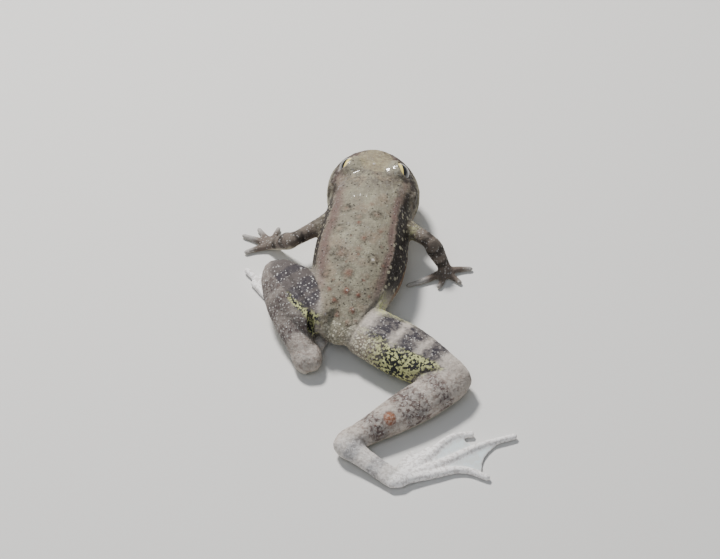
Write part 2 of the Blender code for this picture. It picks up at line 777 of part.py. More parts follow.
def main():
    clear_scene()
    helpers = new_collection("helpers")
    frog = new_collection("foothill_yellow_legged_frog")
    body = fused("body", make_trunk(helpers) + make_head(helpers) + make_limbs(helpers), helpers)
    pieces = parted(triangulated(levelled(body)), make_cuts(helpers), helpers)

    heel, knee, ankle = (joint(name) for name in ("heel_l", "knee_l", "ankle_l"))
    tarsus = fused("tarsus_l", [limb("tarsus", heel, ankle, FOLDED_TARSUS, helpers)], helpers)
    crease = bisector(heel, knee, ankle)
    pieces["tarsus_l"] = trimmed(levelled(tarsus), heel - crease * GAP / 2, crease)
    trimmed(pieces["shank_l"], heel + crease * GAP / 2, -crease)
    level = Vector((ankle.x - heel.x, ankle.y - heel.y, 0)).normalized()
    trimmed(pieces["tarsus_l"], ankle, level)
    for side in ("l", "r"):
        elbow, wrist = joint(f"elbow_{side}"), joint(f"wrist_{side}")
        along = (wrist - elbow).normalized()
        trimmed(pieces[f"forearm_{side}"], wrist + along * WRIST_OVERLAP, along)

    finished = []
    for name, piece in pieces.items():
        kind = name.removesuffix("_l").removesuffix("_r")
        piece = simplified(largest_part(piece, helpers), TRIANGLES[kind])
        finished += finish_head(piece, helpers) if name == "head" else [piece]
    for side in ("l", "r"):
        finished += [largest_part(make(side, helpers), helpers) for make in (make_foot, make_hand)]
    for piece in finished:
        helpers.objects.unlink(piece)
        frog.objects.link(piece)
        painted(piece)
    settle(finished)
    bpy.data.collections.remove(helpers)


main()
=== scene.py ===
"""Foothill yellow-legged frog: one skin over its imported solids, its two eyes, and a plain studio.

Places on the frog are given in millimetres from the vent: to the frog's right, ahead and up.
"""

import math

import bpy
import numpy as np
from mathutils import Matrix, Vector, noise
from mathutils.bvhtree import BVHTree

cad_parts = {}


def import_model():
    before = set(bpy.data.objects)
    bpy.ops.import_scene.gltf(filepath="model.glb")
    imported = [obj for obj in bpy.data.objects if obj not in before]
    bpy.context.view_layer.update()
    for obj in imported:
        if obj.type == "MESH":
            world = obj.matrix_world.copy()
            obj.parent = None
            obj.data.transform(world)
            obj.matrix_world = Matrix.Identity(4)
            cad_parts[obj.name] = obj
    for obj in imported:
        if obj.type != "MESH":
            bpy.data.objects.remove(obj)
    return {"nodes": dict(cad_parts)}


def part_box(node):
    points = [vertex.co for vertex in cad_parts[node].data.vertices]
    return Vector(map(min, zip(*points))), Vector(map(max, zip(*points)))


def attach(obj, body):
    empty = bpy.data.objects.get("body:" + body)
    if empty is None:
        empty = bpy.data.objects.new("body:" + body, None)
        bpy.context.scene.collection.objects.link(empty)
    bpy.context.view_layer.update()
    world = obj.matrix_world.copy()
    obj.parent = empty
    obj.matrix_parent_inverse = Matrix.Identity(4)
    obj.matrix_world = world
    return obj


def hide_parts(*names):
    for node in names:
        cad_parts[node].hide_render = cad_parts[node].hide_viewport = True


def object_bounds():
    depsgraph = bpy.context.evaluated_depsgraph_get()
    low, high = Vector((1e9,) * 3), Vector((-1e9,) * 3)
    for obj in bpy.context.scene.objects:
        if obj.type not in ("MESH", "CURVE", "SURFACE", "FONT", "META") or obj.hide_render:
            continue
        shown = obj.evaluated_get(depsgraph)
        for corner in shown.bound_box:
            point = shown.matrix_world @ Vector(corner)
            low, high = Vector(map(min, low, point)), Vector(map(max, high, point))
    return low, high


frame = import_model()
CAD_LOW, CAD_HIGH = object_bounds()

bl_info = {
    "name": "Foothill yellow-legged frog",
    "version": (1, 0, 0),
    "blender": (4, 5, 0),
    "location": "View3D > Sidebar > Frog",
    "description": "Dresses the frog's solids in skin and eyes, and sets them in a plain studio",
    "category": "Object",
}

MM = 0.001

# Where the right eye's centre lies from the vent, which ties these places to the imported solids.
EYE_PLACE = (7.013, 54.795, 14.1)
# The direction in which the right eye looks, and how far to the right the middle of the two eyes lies.
EYE_AXIS = (0.817, 0.225, 0.531)
EYE_MIDDLE = 0.913
# The eyes' solids, and the side that each lies on: 1 is the right.
EYES = {"eye_l": -1, "eye_r": 1}
# The solids whose digits are too slim to lose any detail.
SLIM = ("foot_l", "foot_r", "hand_l", "hand_r")
# How far the lids open from an eye's axis, in degrees: ahead, backwards, upwards and downwards.
LIDS_OPEN = (62.0, 46.0, 49.0, 40.0)
# How far the front of the opening is tilted up, in degrees.
LID_TILT = 20.0
# The band of a ball that becomes the lids, and how far back they run, in degrees from the axis.
LID_BAND, LID_BACK = (53.9, 126.1), 118.0
# The gap between the lids and the eyeball, in metres, and how far from its centre they reach, in millimetres.
LID_GAP, LIDS_REACH = 0.00006, 5.2
# How far the cornea stands out, as a share of the eyeball's radius.
CORNEA_BULGE = 0.05
# The pupil: half its width, half its height and how far it is lowered, as shares of the eyeball's radius.
PUPIL = (0.84, 0.54, 0.02)
PUPIL_BLACK, IRIS_BROWN = (0.004, 0.004, 0.005), (0.040, 0.024, 0.013)

# How far the smaller forms stand out, in millimetres, or how deep they lie if less than 0.
RELIEF = {
    "upper_lip": 0.20, "lower_lip": 0.10, "lid_edge": 0.12, "below_eye": -0.18, "shank_wart": 0.12,
    "rust_spot": 0.16, "film": 0.26, "ripple": 0.09, "nostril_rim": 0.15, "nostril": -0.55,
    "drum_ring": 0.16, "drum": -0.30, "crease": -0.30, "side_folds": 0.16, "pebbles": 0.12, "digits": 0.12,
}
# Points of the solids nearer than this are one point, in metres.
SAME_POINT = 0.000002
# How near a solid has to be to count for a point of the skin, and the margin round a slim one, in metres.
SOLID_REACH, SLIM_MARGIN = 0.006, 0.001
# How softly the look of one solid passes into the next, in millimetres.
WEIGHT_SOFTNESS = 0.8
# Where the skin is thinned: how freely, and from how far down to how far up it faces.
THINNED = ((0.5, -0.45, -0.15), (1.0, -1.1, -0.45))

# The body's middle line: ahead of the vent, and how far it lies to the right.
MIDDLE = [
    (-1.0, 0.0), (4.0, 0.1), (9.0, 0.5), (15.0, 0.9), (22.0, 1.2), (29.0, 1.3), (45.0, 1.4),
    (52.0, 1.2), (55.9, 0.8), (59.2, 0.5), (61.8, 0.2), (65.0, 0.0),
]
# The fold where the back turns into the dark side: ahead, and how far it lies from the middle.
RIDGE = [
    (-1.0, 2.5), (2.0, 6.3), (5.4, 7.5), (14.0, 8.5), (19.0, 8.8), (24.8, 9.3), (30.0, 8.8),
    (39.6, 8.1), (46.0, 8.8), (52.0, 9.6), (56.0, 8.6), (63.0, 4.5),
]
# The line of the mouth: ahead, half width and level.
MOUTH_LINE = [
    (46.5, 11.7, 8.8), (48.1, 12.1, 9.2), (52.0, 12.3, 9.5), (55.9, 11.5, 9.9), (59.2, 9.9, 10.2),
    (61.8, 7.8, 10.4), (63.7, 5.3, 10.5), (64.7, 2.8, 10.6), (65.0, 0.0, 10.7),
]
# A nostril: aside from the middle, ahead and up. An eardrum: ahead, up and its radius.
NOSTRIL_PLACE = (2.6, 61.9, 13.2)
EARDRUM = (48.2, 12.2, 1.9)
# The level at which the sides turn into the belly, and the half width of the snout's pale patch, each
# after how far ahead it is.
BELLY_LEVEL = [(0, 4.5), (10, 6.0), (20, 6.6), (45, 7.4), (65, 8.6)]
SNOUT_PATCH = [(51.5, 2.2), (53.0, 3.0), (56.5, 4.4), (60.0, 5.2), (65.0, 5.2)]
# Middles of the yellow groin and armpit, and of the granular skin round the vent.
GROIN_PLACE, ARMPIT_PLACE, GRANULES_PLACE = (10.4, 10.5), (13.8, 39.0, 9.6), (4.5, -1.5)
# The film of water raises the skin only behind this line, in millimetres ahead. Webs lie lower than this.
BEHIND_EYES, WEB_TOP = 47.5, 1.25

# Warts on the back: to the right, ahead, radius, how high, how dark the ring, how red the middle.
WARTS = [
    (-3.8, 36.8, 1.2, 0.3, 1.0, 0.45), (0.1, 33.6, 1.1, 0.3, 0.6, 0.35), (0.4, 31.5, 0.8, 0.5, 0.2, 1.0),
    (4.8, 35.1, 1.3, 0.4, 1.0, 0.40), (-4.4, 29.3, 1.3, 0.3, 0.9, 0.30), (2.5, 26.3, 1.2, 0.4, 0.6, 0.80),
    (6.4, 29.8, 0.9, 0.2, 0.1, 0.55), (1.7, 22.8, 1.3, 0.3, 0.1, 0.50), (1.9, 21.0, 0.7, 0.4, 0.4, 1.0),
    (-2.8, 21.0, 1.7, 0.3, 1.0, 0.45), (5.9, 20.5, 1.2, 0.4, 1.0, 0.0), (0.0, 15.4, 1.7, 0.5, 0.6, 0.85),
    (4.5, 14.1, 0.6, 0.4, 0.2, 0.7), (5.5, 15.1, 0.5, 0.3, 0.6, 0.2), (-4.2, 10.8, 0.9, 0.9, 0.2, 1.0),
    (0.5, 10.5, 1.3, 1.0, 0.5, 1.0), (3.7, 9.9, 0.8, 0.9, 0.3, 1.0), (-2.3, 7.4, 1.0, 1.0, 0.5, 1.0),
    (2.7, 5.8, 1.1, 1.1, 0.5, 1.0), (-1.1, 4.1, 0.9, 1.0, 0.5, 0.8), (1.9, 2.7, 1.0, 1.1, 0.5, 0.6),
    (-5.9, 15.5, 0.9, 0.4, 0.7, 0.3), (8.7, 19.9, 0.7, 0.3, 0.2, 0.6), (2.7, 38.8, 1.0, 0.2, 0.0, 0.5),
    (3.9, 3.4, 0.8, 0.8, 0.3, 0.4), (-4.0, 2.8, 0.8, 0.6, 0.5, 0.4), (-1.0, 26.8, 0.5, 0.2, 0.3, 0.5),
    (-6.1, 23.0, 0.6, 0.2, 0.6, 0.3), (7.6, 25.0, 0.6, 0.2, 0.2, 0.5), (-0.9, 18.6, 0.5, 0.2, 0.3, 0.6),
    (-3.4, 13.6, 0.6, 0.4, 0.4, 0.6), (6.4, 10.4, 0.7, 0.4, 0.2, 0.6), (-6.6, 33.2, 0.7, 0.2, 0.6, 0.3),
]
# Where the back ends and the left thigh begins, seen from above: ahead, and how far to the right.
LEFT_THIGH_EDGE = [
    (-2.0, -5.0), (0.0, -5.4), (3.8, -5.6), (5.6, -5.6), (9.5, -6.2), (12.8, -7.6), (16.5, -9.4),
    (20.0, -12.0), (21.0, -30.0),
]
# The fold between the left thigh and shank, seen from above: to the right, ahead.
LEFT_FOLD = [(-22.0, 17.5), (-18.3, 12.9), (-14.6, 7.6), (-12.1, 4.9), (-9.3, 2.7), (-7.3, 1.7)]
# The line from the nostril past the eye below which the cheek is dark: ahead, distance from the middle.
CHEEK_LINE = [(43.0, 13.0), (47.0, 10.4), (52.0, 9.6), (55.0, 8.6), (58.0, 6.6), (60.0, 4.9), (61.5, 3.9),
              (63.0, 2.6), (64.2, 0.8), (65.0, 0.0)]
# Small whitish spots: to the right, ahead, radius.
WHITE_SPOTS = [(0.7, 55.4, 0.5), (5.9, 20.4, 0.55), (-4.0, 2.9, 0.35), (2.9, 6.0, 0.3), (0.6, 10.7, 0.35)]
# Small orange-brown warts on the right shank, and its large rust-coloured spot: right, ahead, radius.
SHANK_WARTS = [(15.9, -21.9, 0.6), (18.0, -20.6, 0.7), (11.1, -29.9, 0.6), (14.3, -28.6, 0.6),
               (13.0, -25.4, 0.5), (10.4, -27.2, 0.5), (20.6, -19.0, 0.4)]
RUST_SPOT = (17.6, -25.8, 1.7)
# Where a film of water stands on the head: to the right, ahead, radius.
WET_SPOTS = [
    (-5.6, 52.4, 2.3), (5.8, 52.9, 2.3), (-5.4, 49.0, 1.8), (5.2, 49.4, 1.6), (-3.2, 51.0, 1.2),
    (-2.8, 42.2, 1.3), (-0.6, 42.6, 1.1), (1.2, 42.2, 1.0), (3.6, 41.6, 1.4), (6.2, 43.8, 1.7),
    (8.2, 46.1, 1.7), (-6.6, 45.6, 1.4),
]

# Where the limbs bend, as in the solids.
JOINTS = {
    "shoulder_r": (9.1, 42.5, 8.8), "elbow_r": (18.9, 35.7, 10.4), "wrist_r": (22.7, 34.8, 2.5),
    "shoulder_l": (-6.9, 42.0, 8.8), "elbow_l": (-17.2, 32.2, 8.6), "wrist_l": (-22.8, 35.6, 2.5),
    "hip_r": (5.0, 5.6, 6.6), "knee_r": (32.8, -7.6, 4.9), "heel_r": (6.9, -33.6, 3.6),
    "ankle_r": (21.2, -41.8, 1.7), "hip_l": (-4.2, 5.2, 9.9), "knee_l": (-19.7, 19.6, 9.0),
    "heel_l": (-7.2, -6.4, 3.1), "ankle_l": (-4.0, 9.4, 1.5),
}
LIMBS = {"thigh": ("hip", "knee"), "shank": ("knee", "heel"), "tarsus": ("heel", "ankle"),
         "upper_arm": ("shoulder", "elbow"), "forearm": ("elbow", "wrist")}
# Dark bars across each length of limb: the share of its length, and the bar's half width there.
BARS = {
    "thigh_r": [(0.235, 0.10), (0.495, 0.095), (0.735, 0.08)],
    "thigh_l": [(0.16, 0.07), (0.39, 0.10), (0.74, 0.07)],
    "shank_r": [(0.20, 0.05), (0.44, 0.10), (0.76, 0.06)],
    "shank_l": [(0.20, 0.06), (0.42, 0.07), (0.68, 0.07)],
    "tarsus_r": [(0.22, 0.10), (0.66, 0.10)],
    "tarsus_l": [(0.30, 0.10), (0.80, 0.09)],
    "upper_arm_r": [(0.55, 0.10), (0.95, 0.09)],
    "upper_arm_l": [(0.45, 0.10), (0.90, 0.09)],
    "forearm_r": [(0.35, 0.12), (0.80, 0.10)],
    "forearm_l": [(0.35, 0.12), (0.80, 0.10)],
}
# Folds of skin between two solids, and the joint near which each fold fades away. Each fold is sunk as a
# groove and also darkened with painted shade.
CREASES = [("thigh_l", "shank_l", "knee_l"), ("thigh_r", "shank_r", "knee_r"),
           ("shank_r", "tarsus_r", "heel_r"), ("torso", "thigh_r", None)]
# The markings, each of which is kept on the skin's mesh as a number from 0 to 1.
MASKS = (
    "flank", "cheek", "ridge", "rim", "belly", "leg", "tarsus", "arm", "foot", "tips", "bars", "rear",
    "groin", "armpit", "vent", "rump", "shank", "left", "web", "snout", "crown", "lip", "dots", "ring",
    "red", "rust", "white", "wet", "drum", "fold", "mouth", "lid_below", "jaw", "head",
)
# The patterns that make the markings uneven: the node group and its settings, with sizes in metres.
PATTERNS = {
    "broad": ("patches", {"Size": 0.0055, "Cover": 0.5, "Softness": 0.15}),
    "warm": ("patches", {"Size": 0.0042, "Cover": 0.38, "Softness": 0.10}),
    "medium": ("patches", {"Size": 0.0015, "Cover": 0.5, "Softness": 0.09}),
    "small": ("patches", {"Size": 0.0007, "Cover": 0.5, "Softness": 0.10}),
    "stipple": ("patches", {"Size": 0.00085, "Cover": 0.46, "Softness": 0.04}),
    "blotches": ("patches", {"Size": 0.0008, "Cover": 0.52, "Softness": 0.06, "Detail": 1.0}),
    "specks": ("spots", {"Spacing": 0.0010, "Radius": 0.27, "Softness": 0.12}),
    "tubercles": ("spots", {"Spacing": 0.00075, "Radius": 0.32, "Softness": 0.16}),
    "cream_spots": ("spots", {"Spacing": 0.0014, "Radius": 0.36, "Softness": 0.12}),
    "granules": ("spots", {"Spacing": 0.0007, "Radius": 0.55, "Softness": 0.22}),
}
# Cells in a metre of skin and flecks in a metre of iris, and the height of the skin's bumps in metres.
SKIN_CELLS, IRIS_FLECKS, BUMP_HEIGHT = 2300.0, 3600.0, 0.00018
# Pads of flesh that round off the folded left heel: the middle, and the radii across, along and up.
HEEL_PADS = [((-7.4, -3.6, 3.6), (3.4, 5.2, 3.3)), ((-9.9, -0.8, 5.0), (3.3, 5.5, 3.4)),
             ((-11.6, 3.2, 6.0), (3.1, 5.5, 3.4))]
# The toes from first to fifth, as in the solids: the points that each runs through, right and ahead.
# The right foot's come first.
TOES = [
    [(22.0, -39.0), (22.8, -35.4), (24.4, -31.6)],
    [(23.0, -39.2), (25.6, -33.8), (29.2, -28.8)],
    [(24.0, -39.6), (28.6, -32.4), (34.4, -24.0), (38.8, -22.4)],
    [(24.6, -40.2), (32.6, -34.0), (41.6, -26.2), (50.0, -21.4)],
    [(24.6, -41.2), (31.0, -38.2), (38.6, -35.2), (45.2, -36.8)],
    [(-7.6, 12.0), (-9.6, 14.2), (-11.4, 16.6)],
    [(-8.0, 12.0), (-11.2, 15.4), (-14.4, 18.8)],
    [(-8.4, 11.8), (-14.0, 16.2), (-19.4, 20.8), (-24.2, 25.6)],
    [(-8.6, 11.4), (-15.6, 15.6), (-22.4, 20.6), (-28.6, 26.2)],
    [(-8.4, 10.8), (-14.8, 13.2), (-21.0, 17.0), (-26.2, 22.0)],
]
# A toe's level, how much higher its root lies, and the share of its length where that ends.
TOE_LEVEL, TOE_RISE, TOE_RISE_ENDS = 0.9, 0.6, 0.55
# A toe's radius at its root, how much thinner its end is, and the radius of its tip.
TOE_ROOT_RADIUS, TOE_TAPER, TOE_TIP_RADIUS = 1.32, 0.52, 0.85

# The photograph's width and how far the vent lies left of its middle and below it, in pixels.
PHOTO_WIDTH, VENT_LEFT, VENT_BELOW = 720, 21.5, 65.5
# The vent, and the place on the frog at which the lights point.
VENT, LIT_PLACE = (0.0, 0.0, 5.0), (6.0, 8.0, 8.0)
# The lights: direction from the frog, distance, size and colour.
LIGHTS = {
    "key": ((0.42, -0.52, 0.95), 0.7, 0.12, (1.0, 0.98, 0.95)),
    "fill": ((0.1, 0.55, 0.85), 0.9, 0.5, (0.82, 0.90, 1.0)),
}
SKY_COLOUR, SKY_STRENGTH = (0.93, 0.96, 1.0), 0.27
FLOOR_SIZE = 4.0
SENSOR_WIDTH = 36.0


def colour_property(name, text, value):
    return bpy.props.FloatVectorProperty(
        name=name, description=text, subtype="COLOR", size=3, min=0.0, max=1.0, default=value
    )


def length_property(name, text, value):
    return bpy.props.FloatProperty(
        name=name, description=text, unit="LENGTH", min=0.0, default=value, precision=5
    )


class FrogSizes(bpy.types.PropertyGroup):
    """Sizes of the skin's relief, the lids and the eyes."""

    voxel: length_property("Skin detail", "Edge of the skin's mesh before it is sculpted", 0.00034)
    bridge: length_property("Bridge", "How far the solids are grown to close the thin cuts", 0.00022)
    lid: length_property("Lid thickness", "Thickness of the eyelids", 0.0005)
    eye: length_property("Eye radius", "Radius of each eyeball", 0.0031)
    wart: length_property("Wart height", "Height of the tallest warts on the back", 0.0003)
    lip: length_property("Mouth depth", "Depth of the line of the mouth", 0.00045)
    grain: length_property("Skin grain", "Height of the skin's fine unevenness", 0.00009)
    triangles: bpy.props.IntProperty(
        name="Triangles", description="About how many triangles the skin keeps", default=192000, min=20000)


class FrogColours(bpy.types.PropertyGroup):
    """The skin's and the eyes' colours."""

    back: colour_property("Back", "Greenish grey of the back", (0.300, 0.278, 0.202))
    back_dark: colour_property("Back, darker", "Darker patches of the back", (0.160, 0.140, 0.112))
    tan: colour_property("Tan", "Warm tan patches near the warts", (0.270, 0.175, 0.120))
    # The specks' colour is also the painted shade in the mouth's groove, the nostrils and the creases.
    speck: colour_property("Specks", "Fine dark specks", (0.024, 0.020, 0.018))
    wart: colour_property("Warts", "Red-brown of the warts", (0.170, 0.066, 0.045))
    ridge: colour_property("Ridge", "Purple-brown along the fold of the side", (0.140, 0.085, 0.080))
    snout: colour_property("Snout", "Pale patch on the snout", (0.310, 0.275, 0.175))
    cheek: colour_property("Cheek", "Grey-brown of the cheeks", (0.046, 0.037, 0.033))
    lip: colour_property("Lip", "Dark brown of the lips", (0.050, 0.040, 0.032))
    flank: colour_property("Flank", "Dark side under the fold", (0.018, 0.013, 0.011))
    # Cream also paints the pale line along the upper jaw, which is partly a painted highlight on the jaw's
    # lit edge.
    cream: colour_property("Cream spots", "Pale spots on the side", (0.400, 0.370, 0.270))
    rim: colour_property("Belly's edge", "Orange-brown edge of the belly", (0.300, 0.155, 0.070))
    belly: colour_property("Belly", "Pale underside", (0.560, 0.520, 0.420))
    leg: colour_property("Leg", "Grey-brown of the hind legs", (0.550, 0.490, 0.435))
    # Painted shade: the folded left leg lies in shade, so it is coloured this dark grey-brown.
    left_leg: colour_property("Left leg", "Duller grey-brown of the folded left leg", (0.068, 0.057, 0.058))
    leg_bar: colour_property("Bars", "Dark bars across the limbs", (0.044, 0.040, 0.049))
    brown: colour_property("Mottling", "Brown mottling of the lower legs", (0.185, 0.125, 0.105))
    yellow: colour_property("Yellow", "Yellow-green behind the thigh", (0.560, 0.570, 0.260))
    granule: colour_property("Granules", "Cream granules round the vent", (0.740, 0.690, 0.550))
    net: colour_property("Net", "Black net over the yellow", (0.018, 0.020, 0.022))
    arm: colour_property("Arm", "Grey-brown of the fore limbs", (0.150, 0.120, 0.102))
    foot: colour_property("Foot", "Whitish hind foot", (0.980, 0.955, 0.940))
    web: colour_property("Web", "Pale blue-grey webs", (0.620, 0.690, 0.710))
    rust: colour_property("Rust", "Orange-brown spot on the shank", (0.320, 0.135, 0.075))
    # On the legs this pale is partly the tubercles' own tips and partly a painted highlight of their glints.
    tubercle: colour_property("Tubercles", "Pale tips of the small tubercles", (0.560, 0.540, 0.520))
    gold: colour_property("Gold", "Gold of the iris", (0.950, 0.780, 0.260))


class StudioSettings(bpy.types.PropertyGroup):
    """The camera's and the studio's settings."""

    azimuth: bpy.props.FloatProperty(
        name="Azimuth", description="Direction of the view round the frog", subtype="ANGLE",
        default=math.radians(189.0))
    elevation: bpy.props.FloatProperty(
        name="Elevation", description="Height of the view above the floor", subtype="ANGLE",
        default=math.radians(47.0))
    distance: length_property("Distance", "From the camera to the frog", 4.0)
    frame_width: length_property("Frame width", "Width of the view at the frog", 0.18936)
    floor: colour_property("Floor", "Plain pale floor", (0.72, 0.71, 0.69))
    key: bpy.props.FloatProperty(name="Key light", description="Power in watts", default=7.6, min=0.0)
    fill: bpy.props.FloatProperty(name="Fill light", description="Power in watts", default=1.4, min=0.0)


def eye_centre():
    low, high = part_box("eye_r")
    return (low + high) / 2


def world(right, ahead, up):
    """A place on the frog as a point of the frame, in metres."""
    centre = eye_centre()
    return Vector((
        centre.x + (EYE_PLACE[0] - right) * MM,
        centre.y + (EYE_PLACE[1] - ahead) * MM,
        centre.z + (up - EYE_PLACE[2]) * MM,
    ))


def frog_terms(points):
    """Points of the frame, in metres, as right, ahead and up in millimetres."""
    centre = np.array(eye_centre())
    right = EYE_PLACE[0] - (points[:, 0] - centre[0]) / MM
    ahead = EYE_PLACE[1] - (points[:, 1] - centre[1]) / MM
    up = EYE_PLACE[2] + (points[:, 2] - centre[2]) / MM
    return np.column_stack([right, ahead, up])


def smooth_step(values, low, high):
    share = np.clip((values - low) / (high - low), 0.0, 1.0)
    return share * share * (3 - 2 * share)


def hump(distance, radius):
    """1 at no distance, falling smoothly to 0 at the radius."""
    share = np.clip(1 - (distance / radius) ** 2, 0.0, 1.0)
    return share * share


def activate(obj):
    bpy.ops.object.select_all(action="DESELECT")
    bpy.context.view_layer.objects.active = obj
    obj.select_set(True)


def modify(obj, kind, **settings):
    """A modifier added with these settings and applied."""
    activate(obj)
    modifier = obj.modifiers.new(kind.title(), kind)
    for key, value in settings.items():
        setattr(modifier, key, value)
    bpy.ops.object.modifier_apply(modifier=modifier.name)


def edit_all(obj, operator, **settings):
    """Runs an operator of the edit mode on the whole of an object's mesh."""
    activate(obj)
    bpy.ops.object.mode_set(mode="EDIT")
    bpy.ops.mesh.select_all(action="SELECT")
    operator(**settings)
    bpy.ops.object.mode_set(mode="OBJECT")


def join(base, others):
    """Joins the other objects into the first."""
    activate(base)
    for other in others:
        other.select_set(True)
    bpy.ops.object.join()
    return base


def points_of(obj):
    table = np.empty(len(obj.data.vertices) * 3, np.float32)
    obj.data.vertices.foreach_get("co", table)
    return table.reshape(-1, 3).astype(float)


def normals_of(obj):
    table = np.empty(len(obj.data.vertices) * 3, np.float32)
    obj.data.vertex_normals.foreach_get("vector", table)
    return table.reshape(-1, 3).astype(float)


def set_points(obj, points):
    obj.data.vertices.foreach_set("co", points.astype(np.float32).ravel())
    obj.data.update()


def set_values(obj, name, values):
    """Keeps a number for each point of the mesh, which its material reads by that name."""
    layer = obj.data.attributes.new(name, "FLOAT", "POINT")
    layer.data.foreach_set("value", values.astype(np.float32))


def noise_at(places, size, octaves=2):
    """Smooth noise from -1 to 1 at each place, with features of about that size."""
    return np.array([noise.fractal(Vector(place) / size, 1.0, 2.0, octaves) for place in places])


def middle_of(ahead):
    """How far the body's middle line lies to the right, at these distances ahead of the vent."""
    return np.interp(ahead, *zip(*MIDDLE))


def eye_frame(side):
    """An eye's outward axis, and the directions along its opening and across it, upwards."""
    right, ahead, up = EYE_AXIS
    axis = Vector((-side * right, -ahead, up)).normalized()
    along = (Vector((0, -1, 0)) - axis * axis.dot(Vector((0, -1, 0)))).normalized()
    rise = axis.cross(along).normalized() * side
    cos, sin = math.cos(math.radians(LID_TILT)), math.sin(math.radians(LID_TILT))
    return [np.array(line) for line in (axis, along * cos + rise * sin, rise * cos - along * sin)]


def lid_opening(turn):
    """The angle from an eye's axis to the edge of its lids, for each turn round that axis."""
    front, rear, above, below = np.radians(LIDS_OPEN)
    wide = np.where(np.cos(turn) > 0, front, rear)
    tall = np.where(np.sin(turn) > 0, above, below)
    return np.hypot(np.cos(turn) * wide, np.sin(turn) * tall)


def flesh_copy():
    """All the solids but the eyes, copied and joined into one object."""
    copies = []
    for name, node in frame["nodes"].items():
        if name not in EYES:
            copy = bpy.data.objects.new(f"copy_{name}", node.data.copy())
            bpy.context.scene.collection.objects.link(copy)
            copies.append(copy)
    skin = join(copies[0], copies[1:])
    edit_all(skin, bpy.ops.mesh.remove_doubles, threshold=SAME_POINT)
    return skin


def add_lids(node, side, sizes):
    """The rims of skin round one eye, from a ball's middle band that is opened towards the pupil."""
    low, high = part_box(node)
    centre = np.array((low + high) / 2)
    axis, along, rise = eye_frame(side)
    bpy.ops.object.select_all(action="DESELECT")
    bpy.ops.mesh.primitive_uv_sphere_add(segments=64, ring_count=40, radius=1.0)
    lids = bpy.context.active_object
    bpy.ops.object.mode_set(mode="EDIT")
    bpy.ops.mesh.select_all(action="DESELECT")
    bpy.ops.object.mode_set(mode="OBJECT")
    polar = np.degrees(np.arccos(np.clip(points_of(lids)[:, 2], -1, 1)))
    for vert, out in zip(lids.data.vertices, (polar < LID_BAND[0]) | (polar > LID_BAND[1])):
        vert.select = bool(out)
    bpy.ops.object.mode_set(mode="EDIT")
    bpy.ops.mesh.delete(type="VERT")
    bpy.ops.object.mode_set(mode="OBJECT")
    places = points_of(lids)
    polar = np.arccos(np.clip(places[:, 2], -1, 1))
    turn = np.arctan2(places[:, 1], places[:, 0])
    opening = lid_opening(turn)
    share = (polar - polar.min()) / (polar.max() - polar.min())
    angle = opening + share * (math.radians(LID_BACK) - opening)
    out = np.cos(angle)[:, None] * axis + np.sin(angle)[:, None] * (
        np.cos(turn)[:, None] * along + np.sin(turn)[:, None] * rise)
    set_points(lids, centre + out * (sizes.eye + LID_GAP))
    edit_all(lids, bpy.ops.mesh.normals_make_consistent, inside=False)
    if (normals_of(lids) * out).sum(axis=1).mean() < 0:
        edit_all(lids, bpy.ops.mesh.flip_normals)
    modify(lids, "SOLIDIFY", thickness=sizes.lid, offset=1.0)
    return lids


def add_heel_pad(middle, radii):
    """Flesh that rounds off the folded left heel, where its two solids meet in a notch."""
    bpy.ops.object.select_all(action="DESELECT")
    bpy.ops.mesh.primitive_ico_sphere_add(subdivisions=4, radius=1.0)
    pad = bpy.context.active_object
    knee, heel = world(*JOINTS["knee_l"]), world(*JOINTS["heel_l"])
    turn = math.atan2((heel - knee).x, -(heel - knee).y)
    spin = np.array(Matrix.Rotation(turn, 3, "Z"))
    set_points(pad, (points_of(pad) * np.array(radii) * MM) @ spin.T + np.array(world(*middle)))
    return pad


def add_toe(points):
    """A smooth toe over its solid, with a slightly swollen, rounded tip."""
    curve = bpy.data.curves.new("toe", "CURVE")
    curve.dimensions = "3D"
    curve.bevel_depth, curve.bevel_resolution, curve.resolution_u = MM, 5, 10
    curve.use_fill_caps = True
    spline = curve.splines.new("BEZIER")
    spline.bezier_points.add(len(points) - 1)
    for k, (knot, (right, ahead)) in enumerate(zip(spline.bezier_points, points)):
        share = k / (len(points) - 1)
        rise = TOE_RISE * max(0.0, 1 - share / TOE_RISE_ENDS) ** 1.5
        knot.co = world(right, ahead, TOE_LEVEL + rise)
        knot.handle_left_type = knot.handle_right_type = "AUTO"
        knot.radius = TOE_ROOT_RADIUS - TOE_TAPER * share
    toe = bpy.data.objects.new("toe", curve)
    bpy.context.scene.collection.objects.link(toe)
    activate(toe)
    bpy.ops.object.convert(target="MESH")
    bpy.ops.object.select_all(action="DESELECT")
    bpy.ops.mesh.primitive_ico_sphere_add(
        subdivisions=3, radius=TOE_TIP_RADIUS * MM, location=world(*points[-1], TOE_LEVEL))
    tip = bpy.context.active_object
    bpy.ops.object.transform_apply(location=True, rotation=False, scale=False)
    return join(tip, [toe])


def near_solid(points, name, reach):
    """Which points lie inside a solid's box, or within reach of it."""
    low, high = (np.array(corner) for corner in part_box(name))
    return ((points > low - reach) & (points < high + reach)).all(axis=1)


def thin_underside(skin, kept):
    """Takes triangles away under the body and legs, where the skin is plain, down to about that many."""
    facing, points = normals_of(skin)[:, 2], points_of(skin)
    slim = np.any([near_solid(points, name, SLIM_MARGIN) for name in SLIM], axis=0)
    group = skin.vertex_groups.new(name="underside")
    for share, low, high in THINNED:
        chosen = (facing >= low) & (facing < high) & ~slim
        group.add(np.flatnonzero(chosen).tolist(), share, "REPLACE")
    triangles = sum(len(face.vertices) - 2 for face in skin.data.polygons)
    ratio = min(1.0, kept / triangles)
    modify(skin, "DECIMATE", ratio=ratio, vertex_group=group.name, vertex_group_factor=1.0)
    skin.vertex_groups.clear()


